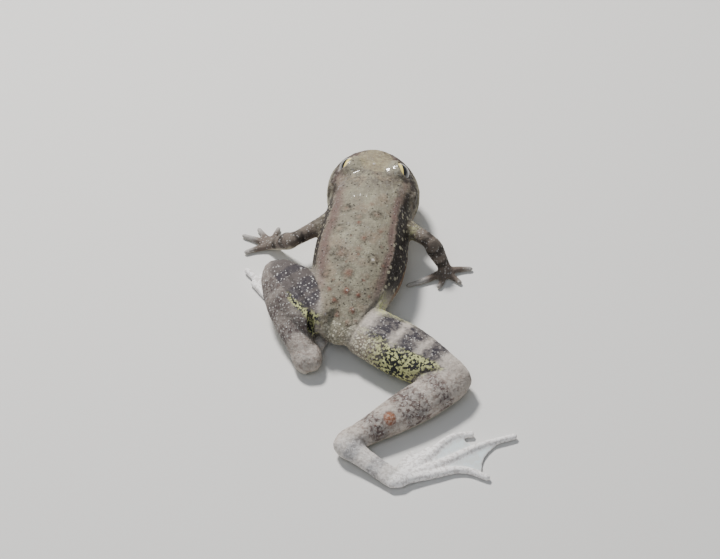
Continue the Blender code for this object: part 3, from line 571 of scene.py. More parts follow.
def nearest_distances(points):
    """How far each point lies from each solid of flesh, in millimetres."""
    found = {}
    for name, node in frame["nodes"].items():
        if name in EYES:
            continue
        tree = BVHTree.FromPolygons(
            [vert.co.copy() for vert in node.data.vertices],
            [tuple(face.vertices) for face in node.data.polygons])
        table = np.full(len(points), SOLID_REACH)
        for i in np.flatnonzero(near_solid(points, name, SOLID_REACH)):
            distance = tree.find_nearest(points[i], SOLID_REACH)[3]
            if distance is not None:
                table[i] = distance
        found[name] = table / MM
    return found


def weights_of(distances):
    """How much each point belongs to each solid, adding up to 1."""
    nearest = np.min(list(distances.values()), axis=0)
    raw = {name: np.exp(-(table - nearest) / WEIGHT_SOFTNESS) for name, table in distances.items()}
    total = sum(raw.values())
    return {name: table / total for name, table in raw.items()}


def polyline_distance(places, line):
    """The distance from each place to a line through the given points, and the height above it."""
    best, above = np.full(len(places), np.inf), np.zeros(len(places))
    for start, end in zip(line[:-1], line[1:]):
        start, run = np.array(start), np.array(end) - np.array(start)
        share = np.clip(((places - start) @ run) / (run @ run), 0.0, 1.0)
        gap = places - (start + share[:, None] * run)
        distance = np.linalg.norm(gap, axis=1)
        closer = distance < best
        best[closer] = distance[closer]
        above[closer] = gap[closer, 2]
    return best, above


def limb_share(places, name):
    """How far each place lies along a length of limb, from 0 at its start to 1 at its end."""
    kind, side = name.rsplit("_", 1)
    first, second = (np.array(JOINTS[f"{joint}_{side}"]) for joint in LIMBS[kind])
    run = second - first
    return ((places - first) @ run) / (run @ run)


def eye_terms(places, side):
    """Each place seen from an eye: its distance from the centre, and its angles off and round the axis."""
    right, ahead, up = EYE_PLACE
    centre = np.array((right if side > 0 else 2 * EYE_MIDDLE - right, ahead, up))
    gap = (places - centre) * np.array((-1.0, -1.0, 1.0))
    axis, along, rise = eye_frame(side)
    distance = np.linalg.norm(gap, axis=1)
    angle = np.arccos(np.clip(gap @ axis / np.maximum(distance, 1e-6), -1, 1))
    return distance, angle, np.arctan2(gap @ rise, gap @ along)


def pad_share(places):
    """1 inside the pads of the folded left heel, falling to 0 just outside them."""
    knee, heel = (np.array(JOINTS[name][:2]) for name in ("knee_l", "heel_l"))
    run = (heel - knee) / np.linalg.norm(heel - knee)
    share = np.zeros(len(places))
    for middle, (across, along, tall) in HEEL_PADS:
        gap = places - np.array(middle)
        sideways = gap[:, 0] * run[1] - gap[:, 1] * run[0]
        lengths = sideways / across, gap[:, :2] @ run / along, gap[:, 2] / tall
        share = np.maximum(share, 1 - smooth_step(np.linalg.norm(lengths, axis=0), 1.06, 1.22))
    return share


class Relief:
    """The skin's places, how far it stands out at each, and the markings that go with its forms."""

    def __init__(self, skin):
        self.points, self.normals = points_of(skin), normals_of(skin)
        self.places = frog_terms(self.points)
        self.right, self.ahead, self.up = self.places.T
        self.from_middle = self.right - middle_of(self.ahead)
        self.beyond_ridge = np.abs(self.from_middle) - np.interp(self.ahead, *zip(*RIDGE))
        self.distances = nearest_distances(self.points)
        self.weights = weights_of(self.distances)
        self.on_top = smooth_step(self.normals[:, 2], 0.1, 0.4)
        self.height = np.zeros(len(self.points))
        self.masks = {}

    def gap_to(self, right, ahead):
        """How far each place lies from a spot, seen from above."""
        return np.hypot(self.right - right, self.ahead - ahead)

    def mark(self, name, values):
        """Makes a marking as strong as these values, wherever it is weaker."""
        self.masks[name] = np.maximum(self.masks.get(name, 0.0), values)


def shape_mouth(relief, depth):
    """The line of the mouth, with a lip above it and one below."""
    gap, above = np.full(len(relief.points), np.inf), np.zeros(len(relief.points))
    for side in (-1, 1):
        line = [(middle_of(far) + side * wide, far, level) for far, wide, level in MOUTH_LINE]
        side_gap, side_above = polyline_distance(relief.places, line)
        above = np.where(side_gap < gap, side_above, above)
        gap = np.minimum(gap, side_gap)
    on_head = relief.weights["head"]
    relief.height -= depth * hump(gap, 0.55) * on_head
    relief.height += RELIEF["upper_lip"] * hump(above - 0.75, 0.7) * (gap < 1.6) * on_head
    relief.height += RELIEF["lower_lip"] * hump(above + 0.7, 0.6) * (gap < 1.4) * on_head
    # Painted shade in the groove of the mouth.
    relief.mark("mouth", hump(gap, 0.5) * on_head)
    relief.mouth_gap, relief.above_mouth = gap, above


def shape_lids(relief):
    """The raised edges of the lids, and the hollow below each eye."""
    for side in EYES.values():
        distance, angle, turn = eye_terms(relief.places, side)
        near = smooth_step(LIDS_REACH - distance, 0.0, 0.8)
        beyond = np.degrees(angle - lid_opening(turn))
        lower_rear = smooth_step(-np.sin(turn), -0.1, 0.4) * smooth_step(-np.cos(turn), -0.3, 0.3)
        relief.mark("lid_edge", hump(beyond - 2.0, 9.0) * near)
        relief.mark("lid_below", hump(beyond - 0.5, 4.0) * near * lower_rear)
        below = smooth_step(-np.sin(turn), -0.5, 0.3)
        relief.height += RELIEF["below_eye"] * hump(beyond - 34.0, 9.0) * near * below
    relief.height += RELIEF["lid_edge"] * relief.masks["lid_edge"]


def shape_warts(relief, tallest):
    """The warts of the back, each with a broken dark ring and a red middle."""
    for right, ahead, radius, rise, dark, redness in WARTS:
        gap = relief.gap_to(right, ahead)
        near = gap < 2.6 * radius
        gap[near] += 0.35 * radius * noise_at(relief.places[near], 0.8)
        broken = smooth_step(noise_at(relief.places[near] + 7.0, 0.7), -0.25, 0.25)
        ring = np.zeros(len(gap))
        ring[near] = dark * hump(gap[near] - 1.05 * radius, 0.75 * radius) * (0.4 + 0.6 * broken)
        relief.mark("ring", ring * relief.on_top)
        relief.mark("red", redness * hump(gap, 1.15 * radius) * relief.on_top)
        relief.height += tallest * rise * hump(gap, radius) * relief.on_top


def shape_spots(relief):
    """The right shank's warts and rust spot, the small white spots, and the film of water on the head."""
    on_shank = relief.weights["shank_r"]
    for right, ahead, radius in SHANK_WARTS:
        bump = hump(relief.gap_to(right, ahead), radius) * relief.on_top * on_shank
        relief.mark("red", 0.6 * bump)
        relief.height += RELIEF["shank_wart"] * bump
    right, ahead, radius = RUST_SPOT
    gap = relief.gap_to(right, ahead)
    inside = radius + 0.2 * noise_at(relief.places, 1.2) - gap
    relief.mark("rust", smooth_step(inside, -0.15, 0.35) * on_shank)
    relief.height += RELIEF["rust_spot"] * hump(gap, radius) * on_shank
    for right, ahead, radius in WHITE_SPOTS:
        relief.mark("white", hump(relief.gap_to(right, ahead), radius) * relief.on_top)
    for right, ahead, radius in WET_SPOTS:
        relief.mark("wet", hump(relief.gap_to(right, ahead), 1.25 * radius) * relief.on_top)
    film = RELIEF["film"] * (relief.ahead < BEHIND_EYES) + RELIEF["ripple"] * noise_at(relief.places, 0.8)
    relief.height += film * relief.masks["wet"]


def shape_nostrils_and_eardrums(relief):
    aside, ahead, up = NOSTRIL_PLACE
    drum_ahead, drum_up, drum_radius = EARDRUM
    off_head = relief.weights["head"] < 0.9
    for side in (-1, 1):
        spot = np.array((middle_of(ahead) + side * aside, ahead, up))
        spot = relief.places[np.argmin(np.linalg.norm(relief.places - spot, axis=1) + 10 * off_head)]
        gap = np.linalg.norm(relief.places - spot, axis=1)
        relief.height += RELIEF["nostril_rim"] * hump(gap - 0.85, 0.5) + RELIEF["nostril"] * hump(gap, 0.6)
        # Painted shade in the nostril's hollow, marked together with the mouth's.
        relief.mark("mouth", 1.2 * hump(gap, 0.75))
        gap = np.hypot(relief.ahead - drum_ahead, relief.up - drum_up)
        beside = smooth_step(side * relief.from_middle, 7.5, 9.0)
        ring = hump(gap - drum_radius, 0.45) * beside
        relief.height += RELIEF["drum_ring"] * ring + RELIEF["drum"] * hump(gap, 1.7) * beside
        relief.mark("drum", ring)


def shape_creases(relief):
    """The folds of skin between neighbouring solids, sunk as grooves and marked for painted shade."""
    facing = smooth_step(relief.normals[:, 2], -0.2, 0.5) * (1 - pad_share(relief.places))
    for first, second, joint in CREASES:
        first_gap, second_gap = relief.distances[first], relief.distances[second]
        crease = hump(first_gap - second_gap, 0.9) * (np.maximum(first_gap, second_gap) < 1.2)
        if joint:
            crease *= smooth_step(relief.gap_to(*JOINTS[joint][:2]), 3.2, 6.2)
        relief.mark("fold", crease * facing)
    relief.height += RELIEF["crease"] * relief.masks["fold"]


def shape_grain(relief, tallest):
    """Fine unevenness all over, folds along the sides, pebbles round the vent, and fuller digits."""
    weights, places, up = relief.weights, relief.places, relief.up
    digits = sum(weights[name] for name in SLIM)
    fine = np.abs(noise_at(places + 31.0, 0.65))
    relief.height += tallest * (noise_at(places, 1.1, 3) + 0.8 * fine) * (1 - 0.9 * digits)
    side_skin = weights["torso"] * smooth_step(relief.beyond_ridge, 0.3, 1.6) * smooth_step(up, 4.0, 7.0)
    relief.height += RELIEF["side_folds"] * noise_at(places * np.array((1.0, 0.45, 1.0)), 1.5) * side_skin
    pebbles = weights["torso"] * smooth_step(5.0 - relief.ahead, 0.0, 3.0) + 0.6 * weights["thigh_r"]
    relief.height += RELIEF["pebbles"] * fine * pebbles
    relief.height += RELIEF["digits"] * digits * smooth_step(up, 0.9, 1.6)
    belly = smooth_step(-relief.normals[:, 2], 0.1, 0.6)
    relief.height *= 1 - 0.7 * belly * (relief.mouth_gap > 1.5)


def sculpt(skin, sizes):
    """Gives the skin its relief, and returns it with the markings that go with it."""
    relief = Relief(skin)
    shape_mouth(relief, sizes.lip / MM)
    shape_lids(relief)
    shape_warts(relief, sizes.wart / MM)
    shape_spots(relief)
    shape_nostrils_and_eardrums(relief)
    shape_creases(relief)
    shape_grain(relief, sizes.grain / MM)
    points = relief.points + relief.normals * (relief.height * MM)[:, None]
    points[:, 2] = np.maximum(points[:, 2], CAD_LOW.z)
    set_points(skin, points)
    return relief


def share_left_thigh(weights, places):
    """Gives the left thigh's look to the parts of the trunk and the shank that lie over it."""
    right, ahead, up = places.T
    edge = np.interp(ahead, *zip(*LEFT_THIGH_EDGE))
    lobe = weights["torso"] * smooth_step(edge - right, -0.3, 0.5)
    above = smooth_step(ahead - np.interp(right, *zip(*LEFT_FOLD)), -0.3, 0.4) * smooth_step(up, 7.0, 9.0)
    fold = weights["shank_l"] * above * smooth_step(right, -22.5, -20.0)
    pad = pad_share(places) * (1 - above)
    weights = {name: table * (1 - pad) + pad * (name == "shank_l") for name, table in weights.items()}
    return {**weights, "thigh_l": weights["thigh_l"] + lobe + fold, "torso": weights["torso"] - lobe,
            "shank_l": weights["shank_l"] - fold}


def bar_mask(places, weights, wobble):
    """The dark bars across the lengths of the limbs."""
    bars = np.zeros(len(places))
    for name, rows in BARS.items():
        share = limb_share(places, name) + wobble
        for middle, half in rows:
            bar = smooth_step(half - np.abs(share - middle), -0.03, 0.03)
            bars = np.maximum(bars, bar * weights[name])
    return bars


def rear_mask(places, normals, weights, wobble):
    """The yellow skin behind the thighs, which also shows in the fold between the left thigh and shank."""
    right, ahead, up = places.T
    rear = np.zeros(len(places))
    for mark_side, sign in (("l", -1), ("r", 1)):
        thigh = f"thigh_{mark_side}"
        hip, knee = (np.array(JOINTS[f"{joint}_{mark_side}"]) for joint in ("hip", "knee"))
        run = (knee - hip)[:2] / np.linalg.norm((knee - hip)[:2])
        facing = sign * (normals[:, 1] * run[0] - normals[:, 0] * run[1])
        share = limb_share(places, thigh)
        here = smooth_step(facing + 0.10 * wobble + 0.12 * share, 0.22, 0.42)
        span = smooth_step(share, -0.05, 0.14) * (1 - smooth_step(share, 0.98, 1.08))
        hidden = smooth_step(up, 8.0, 10.0) if mark_side == "l" else 0.0
        rear = np.maximum(rear, here * span * weights[thigh] * (1 - hidden))
    from_fold = np.abs(ahead - np.interp(right, *zip(*LEFT_FOLD))) + 0.25 * wobble
    strip = hump(from_fold, 1.5) * smooth_step(right, -15.8, -13.6) * smooth_step(up, 5.0, 7.0)
    return np.maximum(rear, strip * (weights["thigh_l"] + weights["shank_l"]))


def head_masks(relief, head, wobble, fine):
    """The markings of the snout, crown, lips, jaw and cheeks."""
    ahead, up, facing_up = relief.ahead, relief.up, relief.normals[:, 2]
    away = np.abs(relief.from_middle)
    above, near_mouth = relief.above_mouth, relief.mouth_gap < 3.2
    snout = smooth_step(ahead + 0.35 * fine - 0.05 * away, 52.0, 52.9) * smooth_step(facing_up, 0.66, 0.78)
    snout *= smooth_step(np.interp(ahead, *zip(*SNOUT_PATCH)) + 0.3 * fine - away, -0.3, 0.7)
    crown = smooth_step(ahead, 43.0, 48.0) * (1 - smooth_step(ahead, 52.5, 53.4))
    crown *= smooth_step(up, 14.0, 15.5)
    under = smooth_step(-facing_up, 0.15, 0.6)
    lip = hump(above - 0.9, 1.6) * near_mouth * (1 - under) * smooth_step(ahead, 54.5, 58.5)
    front_edge = smooth_step(ahead, 60.5, 62.0) * (1 - smooth_step(facing_up + 0.03 * fine, 0.62, 0.74))
    lip = np.maximum(lip, 0.85 * front_edge * smooth_step(above, 0.0, 0.8))
    # A pale lip line along the upper jaw, which is also a painted highlight on the jaw's lit edge.
    jaw = hump(above - 1.0 - 0.2 * fine, 1.1) * near_mouth * (1 - smooth_step(ahead, 55.5, 58.5))
    cheek = smooth_step(away - np.interp(ahead, *zip(*CHEEK_LINE)) + 0.2 * wobble, -0.3, 0.5)
    cheek *= smooth_step(up, 9.4, 10.8) * (1 - relief.masks["lid_edge"] * smooth_step(up, 14.0, 15.0))
    return {"head": head, "snout": snout * head, "crown": crown * head, "lip": lip * head,
            "jaw": jaw * head, "cheek": cheek * head}


def trunk_masks(relief, weights, wobble, fine):
    """The markings of the back, sides and belly."""
    ahead, up = relief.ahead, relief.up
    body, head, thigh = weights["torso"], weights["head"], weights["thigh_r"]
    beyond = relief.beyond_ridge + 0.45 * wobble + 0.25 * fine
    on_left = smooth_step(-relief.from_middle, 0.0, 3.0)
    level = np.interp(ahead, *zip(*BELLY_LEVEL))
    low = smooth_step(level + 0.5 * wobble - up, 0.0, 2.6)
    side = smooth_step(beyond - on_left * smooth_step(ahead, 10.0, 16.0), 0.0, 0.6) * (1 - low)
    under = smooth_step(-relief.normals[:, 2], 0.15, 0.6)
    flank = side * body * (1 - 0.25 * smooth_step(ahead, 44.0, 49.0))
    neck = head * hump(beyond - 0.9, 1.5) * (1 - smooth_step(ahead, 49.0, 51.5))
    ridge = hump(beyond + 0.5 - 0.3 * on_left, 1.7 + 0.9 * on_left) * (body + 0.6 * head)
    rim = hump(up - level - 0.6, 1.5) * smooth_step(beyond, 0.5, 2.0) * body
    groin = hump(relief.gap_to(*GROIN_PLACE), 5.0) * smooth_step(beyond, -0.4, 0.8)
    front_face = smooth_step(0.35 * relief.normals[:, 0] - relief.normals[:, 1], 0.25, 0.65)
    on_thigh = hump(limb_share(relief.places, "thigh_r") - 0.12, 0.42) * thigh
    return {
        "flank": flank + neck, "ridge": ridge * (1 - low) * smooth_step(ahead, 6.0, 14.0),
        "rim": rim * smooth_step(ahead, 9.0, 14.0), "dots": body * (1 - side) + head,
        "belly": low * smooth_step(beyond, -1.0, 1.0) * (body + head) + under,
        "rump": body * smooth_step(4.2 - ahead, 0.0, 2.5) * smooth_step(up, 3.5, 6.0),
        "groin": np.maximum(groin, front_face * on_thigh),
    }


def limb_masks(relief, weights, wobble, fine):
    """The markings of the limbs."""
    places, up = relief.places, relief.up

    def total(*kinds):
        return sum(table for name, table in weights.items() if name.rsplit("_", 1)[0] in kinds)

    legs, feet = total("thigh", "shank"), total("foot")
    arms, hands = total("upper_arm", "forearm"), total("hand")
    by_heel = hump(relief.gap_to(*JOINTS["heel_l"][:2]), 10.0)
    # Where the folded left leg is darkened with painted shade, less so near its heel.
    left = smooth_step(-relief.right, 4.5, 7.5) * smooth_step(up, 2.0, 5.0) * (1 - 0.75 * by_heel)
    thin = smooth_step(WEB_TOP - up * (feet > 0.5), 0.0, 0.35) * smooth_step(relief.normals[:, 2], 0.75, 0.95)
    reach = np.min([relief.gap_to(*JOINTS[wrist][:2]) for wrist in ("wrist_l", "wrist_r")], axis=0)
    rear = rear_mask(places, relief.normals, weights, wobble)
    granular = hump(relief.gap_to(*GRANULES_PLACE), 11.0) * smooth_step(up, 1.5, 4.0)
    armpit = hump(np.linalg.norm(places - np.array(ARMPIT_PLACE), axis=1), 3.6)
    return {
        "leg": legs, "shank": total("shank"), "tarsus": total("tarsus"), "foot": feet, "arm": arms + hands,
        "left": left * legs, "web": thin * feet, "tips": hands * smooth_step(reach, 4.5, 7.5), "rear": rear,
        "bars": bar_mask(places, weights, 0.026 * wobble + 0.028 * fine), "vent": granular * rear,
        "armpit": armpit * (arms + weights["torso"]),
    }


def mark(skin, relief):
    """Keeps on the skin's mesh where each of its markings lies, for its material."""
    weights = share_left_thigh(relief.weights, relief.places)
    wobble, fine = noise_at(relief.places, 3.0), noise_at(relief.places + 11.0, 1.2)
    masks = {
        **relief.masks, **head_masks(relief, weights["head"], wobble, fine),
        **trunk_masks(relief, weights, wobble, fine), **limb_masks(relief, weights, wobble, fine),
    }
    masks["vent"] += masks["rump"]
    for name in MASKS:
        set_values(skin, name, np.clip(masks[name], 0.0, 1.0))


class Shader:
    """Short ways to add nodes to a material or a node group."""

    def __init__(self, tree):
        self.tree = tree

    def add(self, kind, **settings):
        node = self.tree.nodes.new(kind)
        for key, value in settings.items():
            setattr(node, key, value)
        return node

    def put(self, socket, value):
        if isinstance(value, bpy.types.NodeSocket):
            self.tree.links.new(value, socket)
        elif isinstance(value, (tuple, list)) and len(value) == 3 and len(socket.default_value) == 4:
            socket.default_value = (*value, 1.0)
        else:
            socket.default_value = value

    def texture(self, kind, scale, **settings):
        """A procedural texture over the piece's own coordinates."""
        node = self.add(kind, **settings)
        self.put(node.inputs["Vector"], self.add("ShaderNodeTexCoord").outputs["Object"])
        self.put(node.inputs["Scale"], scale)
        return node

    def maths(self, operation, first, second=0.5, clamp=False):
        node = self.add("ShaderNodeMath", operation=operation, use_clamp=clamp)
        self.put(node.inputs[0], first)
        self.put(node.inputs[1], second)
        return node.outputs[0]

    def plus(self, first, second, clamp=False):
        return self.maths("ADD", first, second, clamp)

    def minus(self, first, second):
        return self.maths("SUBTRACT", first, second)

    def times(self, product, *factors):
        for factor in factors:
            product = self.maths("MULTIPLY", product, factor)
        return product

    def mixed(self, share, first, second):
        node = self.add("ShaderNodeMix", data_type="RGBA")
        self.put(node.inputs["Factor"], share)
        self.put(node.inputs[6], first)
        self.put(node.inputs[7], second)
        return node.outputs[2]

    def step(self, value, low, high):
        node = self.add("ShaderNodeMapRange", interpolation_type="SMOOTHSTEP")
        for name, number in (("Value", value), ("From Min", low), ("From Max", high)):
            self.put(node.inputs[name], number)
        return node.outputs["Result"]

    def mask(self, name):
        return self.add("ShaderNodeAttribute", attribute_name=name).outputs["Fac"]

    def group(self, tree, settings):
        node = self.add("ShaderNodeGroup", node_tree=tree)
        for name, value in settings.items():
            self.put(node.inputs[name], value)
        return node.outputs[0]


def new_group(name, inputs):
    """An empty node group with these number inputs and a mask as its output."""
    tree = bpy.data.node_groups.new(name, "ShaderNodeTree")
    for label, value in inputs.items():
        socket = tree.interface.new_socket(label, in_out="INPUT", socket_type="NodeSocketFloat")
        socket.default_value = value
    tree.interface.new_socket("Mask", in_out="OUTPUT", socket_type="NodeSocketFloat")
    shader = Shader(tree)
    given, result = shader.add("NodeGroupInput").outputs, shader.add("NodeGroupOutput").inputs[0]
    return tree, shader, given, result


def patches_group():
    """Soft uneven patches, from the size of the features and how much of the skin they cover."""
    tree, shader, given, result = new_group(
        "Skin patches", {"Size": 0.003, "Cover": 0.5, "Softness": 0.1, "Detail": 3.0})
    pattern = shader.texture("ShaderNodeTexNoise", shader.maths("DIVIDE", 1.0, given["Size"]))
    shader.put(pattern.inputs["Detail"], given["Detail"])
    pattern.inputs["Roughness"].default_value = 0.55
    edge = shader.minus(0.82, shader.times(given["Cover"], 0.64))
    low, high = shader.minus(edge, given["Softness"]), shader.plus(edge, given["Softness"])
    shader.put(result, shader.step(pattern.outputs["Fac"], low, high))
    return tree


def spots_group():
    """Small round spots, some larger than others, from their spacing and size."""
    tree, shader, given, result = new_group("Skin spots", {"Spacing": 0.001, "Radius": 0.3, "Softness": 0.12})
    warp = shader.texture("ShaderNodeTexNoise", shader.maths("DIVIDE", 1.3, given["Spacing"]))
    pattern = shader.texture(
        "ShaderNodeTexVoronoi", shader.maths("DIVIDE", 1.0, given["Spacing"]), feature="F1")
    split = shader.add("ShaderNodeSeparateColor")
    shader.put(split.inputs[0], pattern.outputs["Color"])
    size = shader.times(given["Radius"], shader.plus(shader.times(split.outputs[0], 0.8), 0.5))
    uneven = shader.times(shader.minus(warp.outputs["Fac"], 0.5), 0.35)
    reach = shader.plus(pattern.outputs["Distance"], uneven)
    inner = shader.minus(size, given["Softness"])
    shader.put(result, shader.minus(1.0, shader.step(reach, inner, size)))
    return tree


def new_material(name):
    material = bpy.data.materials.new(name)
    material.use_nodes = True
    return material, Shader(material.node_tree), material.node_tree.nodes["Principled BSDF"]


def skin_material(colours):
    """The skin's colours, laid over each other by its markings and patterns, and its bumps and wet film."""
    material, shader, principled = new_material("Frog skin")
    groups = {"patches": patches_group(), "spots": spots_group()}
    shares = {name: shader.mask(name) for name in MASKS}
    for name, (kind, settings) in PATTERNS.items():
        shares[name] = shader.group(groups[kind], settings)
    paint = {name: tuple(getattr(colours, name)) for name in colours.__annotations__}

    def share_of(item):
        """A marking or a pattern by its name, or else the item itself."""
        return shares[item] if isinstance(item, str) else item

    def times(*items):
        return shader.times(*map(share_of, items))

    def plus(first, second):
        return shader.plus(share_of(first), share_of(second), clamp=True)

    def less(item):
        return shader.minus(1.0, share_of(item))

    def some(pattern, change, base):
        """A share that a pattern makes uneven, from the base up."""
        return plus(times(pattern, change), base)

    def layers(colour, *rows):
        """A colour with others laid over it in turn, each by its share."""
        colour = paint[colour] if isinstance(colour, str) else colour
        for share, above in rows:
            above = paint[above] if isinstance(above, str) else above
            colour = shader.mixed(share_of(share), colour, above)
        return colour

    snout = layers("snout", (times("medium", 0.5), "back_dark"), (times("small", 0.25), "tan"))
    flank = layers(
        "flank", (times("medium", 0.5), "cheek"), (times("cream_spots", 0.85, less("head")), "cream"))
    trunk = layers(
        "back", (times("broad", 0.5), "back_dark"), (times("warm", 0.35), "tan"),
        (times("medium", 0.22), "back_dark"), (times("crown", "medium", 0.75), "back_dark"),
        (times("crown", "stipple", 0.35), "cheek"), ("snout", snout),
        (times("cheek", some("medium", 0.35, 0.65)), "cheek"), (times("ridge", 0.8), "ridge"),
        ("flank", flank), (times("rim", 0.6), "rim"), (times("groin", less("stipple")), "yellow"),
        (times("tubercles", 0.20), "tubercle"),
        (times("dots", "specks", 0.75, less(times("snout", 0.6))), "speck"))

    bar_share = shader.minus(some("medium", 0.25, 0.75), times("shank", 0.45))
    # How strongly painted shade darkens the folded left leg, less so on its shank.
    left_shade_share = shader.minus(0.92, times("shank", 0.36))
    limb = layers(
        "leg", (times("broad", 0.3), "back_dark"),
        (times("shank", "stipple", some("bars", 0.5, 0.45)), "brown"),
        (times("bars", bar_share), "leg_bar"), (times("left", left_shade_share), "left_leg"),
        (times("left", "bars", less("shank"), some("medium", 0.3, 0.5)), "leg_bar"),
        # Pale tubercles, strongest on the bars: partly their own pale tips and partly painted glints.
        (times("left", "tubercles", 0.5), "tubercle"),
        (times("tubercles", some("bars", 0.5, 0.3)), "tubercle"),
        (times("rust", some("small", 0.5, 0.5)), "rust"))
    arm = layers(
        "arm", (times("broad", 0.4), "back_dark"), (times("bars", some("medium", 0.4, 0.5)), "speck"),
        (times("tubercles", 0.6), "tubercle"), (times("armpit", less("stipple")), "yellow"),
        (times("tips", 0.65), "tubercle"))
    belly = layers("belly", (times("stipple", 0.12), "back_dark"))
    granular = layers("net", (0.8, "brown"), (some("granules", 0.75, 0.25), "granule"))
    rear = layers("yellow", ("blotches", "net"), ("vent", granular))
    web = layers("web", (times("medium", 0.30), "leg"))
    foot = layers("foot", (times("stipple", 0.36), "brown"), ("web", web))

    colour = layers(
        trunk, (plus("leg", "tarsus"), limb),
        (times("groin", "leg", less(times("stipple", 0.8))), "yellow"),
        ("arm", arm), ("belly", belly), ("rear", rear), (times("rump", "granules", 0.6), "granule"),
        (plus("foot", times("tarsus", 0.45)), foot), (times("red", some("small", 0.2, 0.8)), "wart"),
        (times("ring", some("small", 0.4, 0.5)), "speck"), (times("rust", less("rust"), 2.2), "wart"),
        (times("lip", some("medium", 0.35, 0.5)), "lip"),
        # The jaw's pale lip line, partly a painted highlight on its lit edge.
        (times("jaw", some("medium", 0.3, 0.35)), "cream"), (times("drum", 0.08), "cream"),
        (times("lid_below", 0.4), "tubercle"), ("white", "tubercle"),
        (times("small", 0.16, less("foot")), "speck"),
        # Painted shade in the mouth's groove, the nostrils and the creases.
        (times(plus("mouth", times("fold", 0.5)), 0.8), "speck"))
    shader.put(principled.inputs["Base Color"], colour)

    film = plus("wet", times("crown", 0.4, "medium"))
    rough = shader.plus(0.56, times("medium", 0.12))
    shader.put(principled.inputs["Roughness"], shader.minus(rough, times(film, 0.22)))
    shader.put(principled.inputs["Coat Weight"], plus(0.01, times(film, 0.97)))
    principled.inputs["Coat Roughness"].default_value = 0.10
    principled.inputs["Specular IOR Level"].default_value = 0.14

    cells = shader.texture("ShaderNodeTexVoronoi", SKIN_CELLS, feature="F1")
    height = shader.minus(times("tubercles", 0.8), times(cells.outputs["Distance"], 0.7))
    height = shader.plus(height, times("granules", "vent", 1.2))
    height = shader.minus(height, times("small", 0.2))
    bump = shader.add("ShaderNodeBump")
    bump.inputs["Strength"].default_value = 0.6
    bump.inputs["Distance"].default_value = BUMP_HEIGHT
    shader.put(bump.inputs["Height"], times(height, less(times("foot", 0.85))))
    shader.put(principled.inputs["Normal"], bump.outputs["Normal"])
    return material


def eye_material(colours):
    """A dark oval pupil in a flecked iris, gold above and round the pupil."""
    material, shader, principled = new_material("Frog eye")
    along, rise = shader.mask("eye_along"), shader.mask("eye_rise")
    gold = tuple(colours.gold)

    def oval(wide, tall, height):
        """1 on the edge of an oval, less inside it."""
        shares = [shader.maths("ABSOLUTE", shader.maths("DIVIDE", value, half))
                  for value, half in ((along, wide), (height, tall))]
        return shader.plus(*(shader.maths("POWER", share, 2.0) for share in shares))

    radius = shader.maths("SQRT", oval(1.0, 1.0, rise))
    wide, tall, lowered = PUPIL
    pupil = oval(wide, tall, shader.plus(rise, lowered))
    flecks = shader.texture("ShaderNodeTexNoise", IRIS_FLECKS)
    flecks.inputs["Detail"].default_value = 3.0
    bright = shader.step(flecks.outputs["Fac"], 0.48, 0.64)
    iris = shader.mixed(shader.plus(shader.times(bright, 0.45), 0.1), IRIS_BROWN, gold)
    upper = shader.times(shader.step(rise, 0.15, 0.40), shader.plus(shader.times(bright, 0.15), 0.85))
    iris = shader.mixed(upper, iris, gold)
    from_rim = shader.maths("ABSOLUTE", shader.minus(pupil, 1.10))
    ring = shader.minus(1.0, shader.step(from_rim, 0.04, 0.12))
    iris = shader.mixed(shader.times(ring, 0.7), iris, gold)
    colour = shader.mixed(shader.step(pupil, 0.94, 1.03), PUPIL_BLACK, iris)
    colour = shader.mixed(shader.step(radius, 0.93, 0.97), colour, IRIS_BROWN)
    shader.put(principled.inputs["Base Color"], colour)
    principled.inputs["Roughness"].default_value = 0.20
    principled.inputs["Coat Weight"].default_value = 1.0
    principled.inputs["Coat Roughness"].default_value = 0.03
    return material


class OBJECT_OT_frog_skin(bpy.types.Operator):
    """Builds the frog's one skin over its solids, sculpts it and marks it"""

    bl_idname = "object.frog_skin"
    bl_label = "Frog skin"

    def execute(self, context):
        sizes, colours = context.scene.frog_sizes, context.scene.frog_colours
        flesh = [name for name in frame["nodes"] if name not in EYES]
        added = [add_lids(node, side, sizes) for node, side in EYES.items()]
        added += [add_heel_pad(*pad) for pad in HEEL_PADS] + [add_toe(points) for points in TOES]
        skin = join(flesh_copy(), added)
        skin.name = skin.data.name = "frog_skin"
        skin.data.materials.clear()
        modify(skin, "DISPLACE", strength=sizes.bridge, mid_level=0.0)
        modify(skin, "REMESH", mode="VOXEL", voxel_size=sizes.voxel)
        modify(skin, "DISPLACE", strength=-sizes.bridge, mid_level=0.0)
        modify(skin, "SMOOTH", factor=0.5, iterations=8)
        thin_underside(skin, sizes.triangles)
        mark(skin, sculpt(skin, sizes))
        bpy.ops.object.shade_smooth()
        skin.data.materials.append(skin_material(colours))
        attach(skin, "root")
        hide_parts(*flesh)
        return {"FINISHED"}


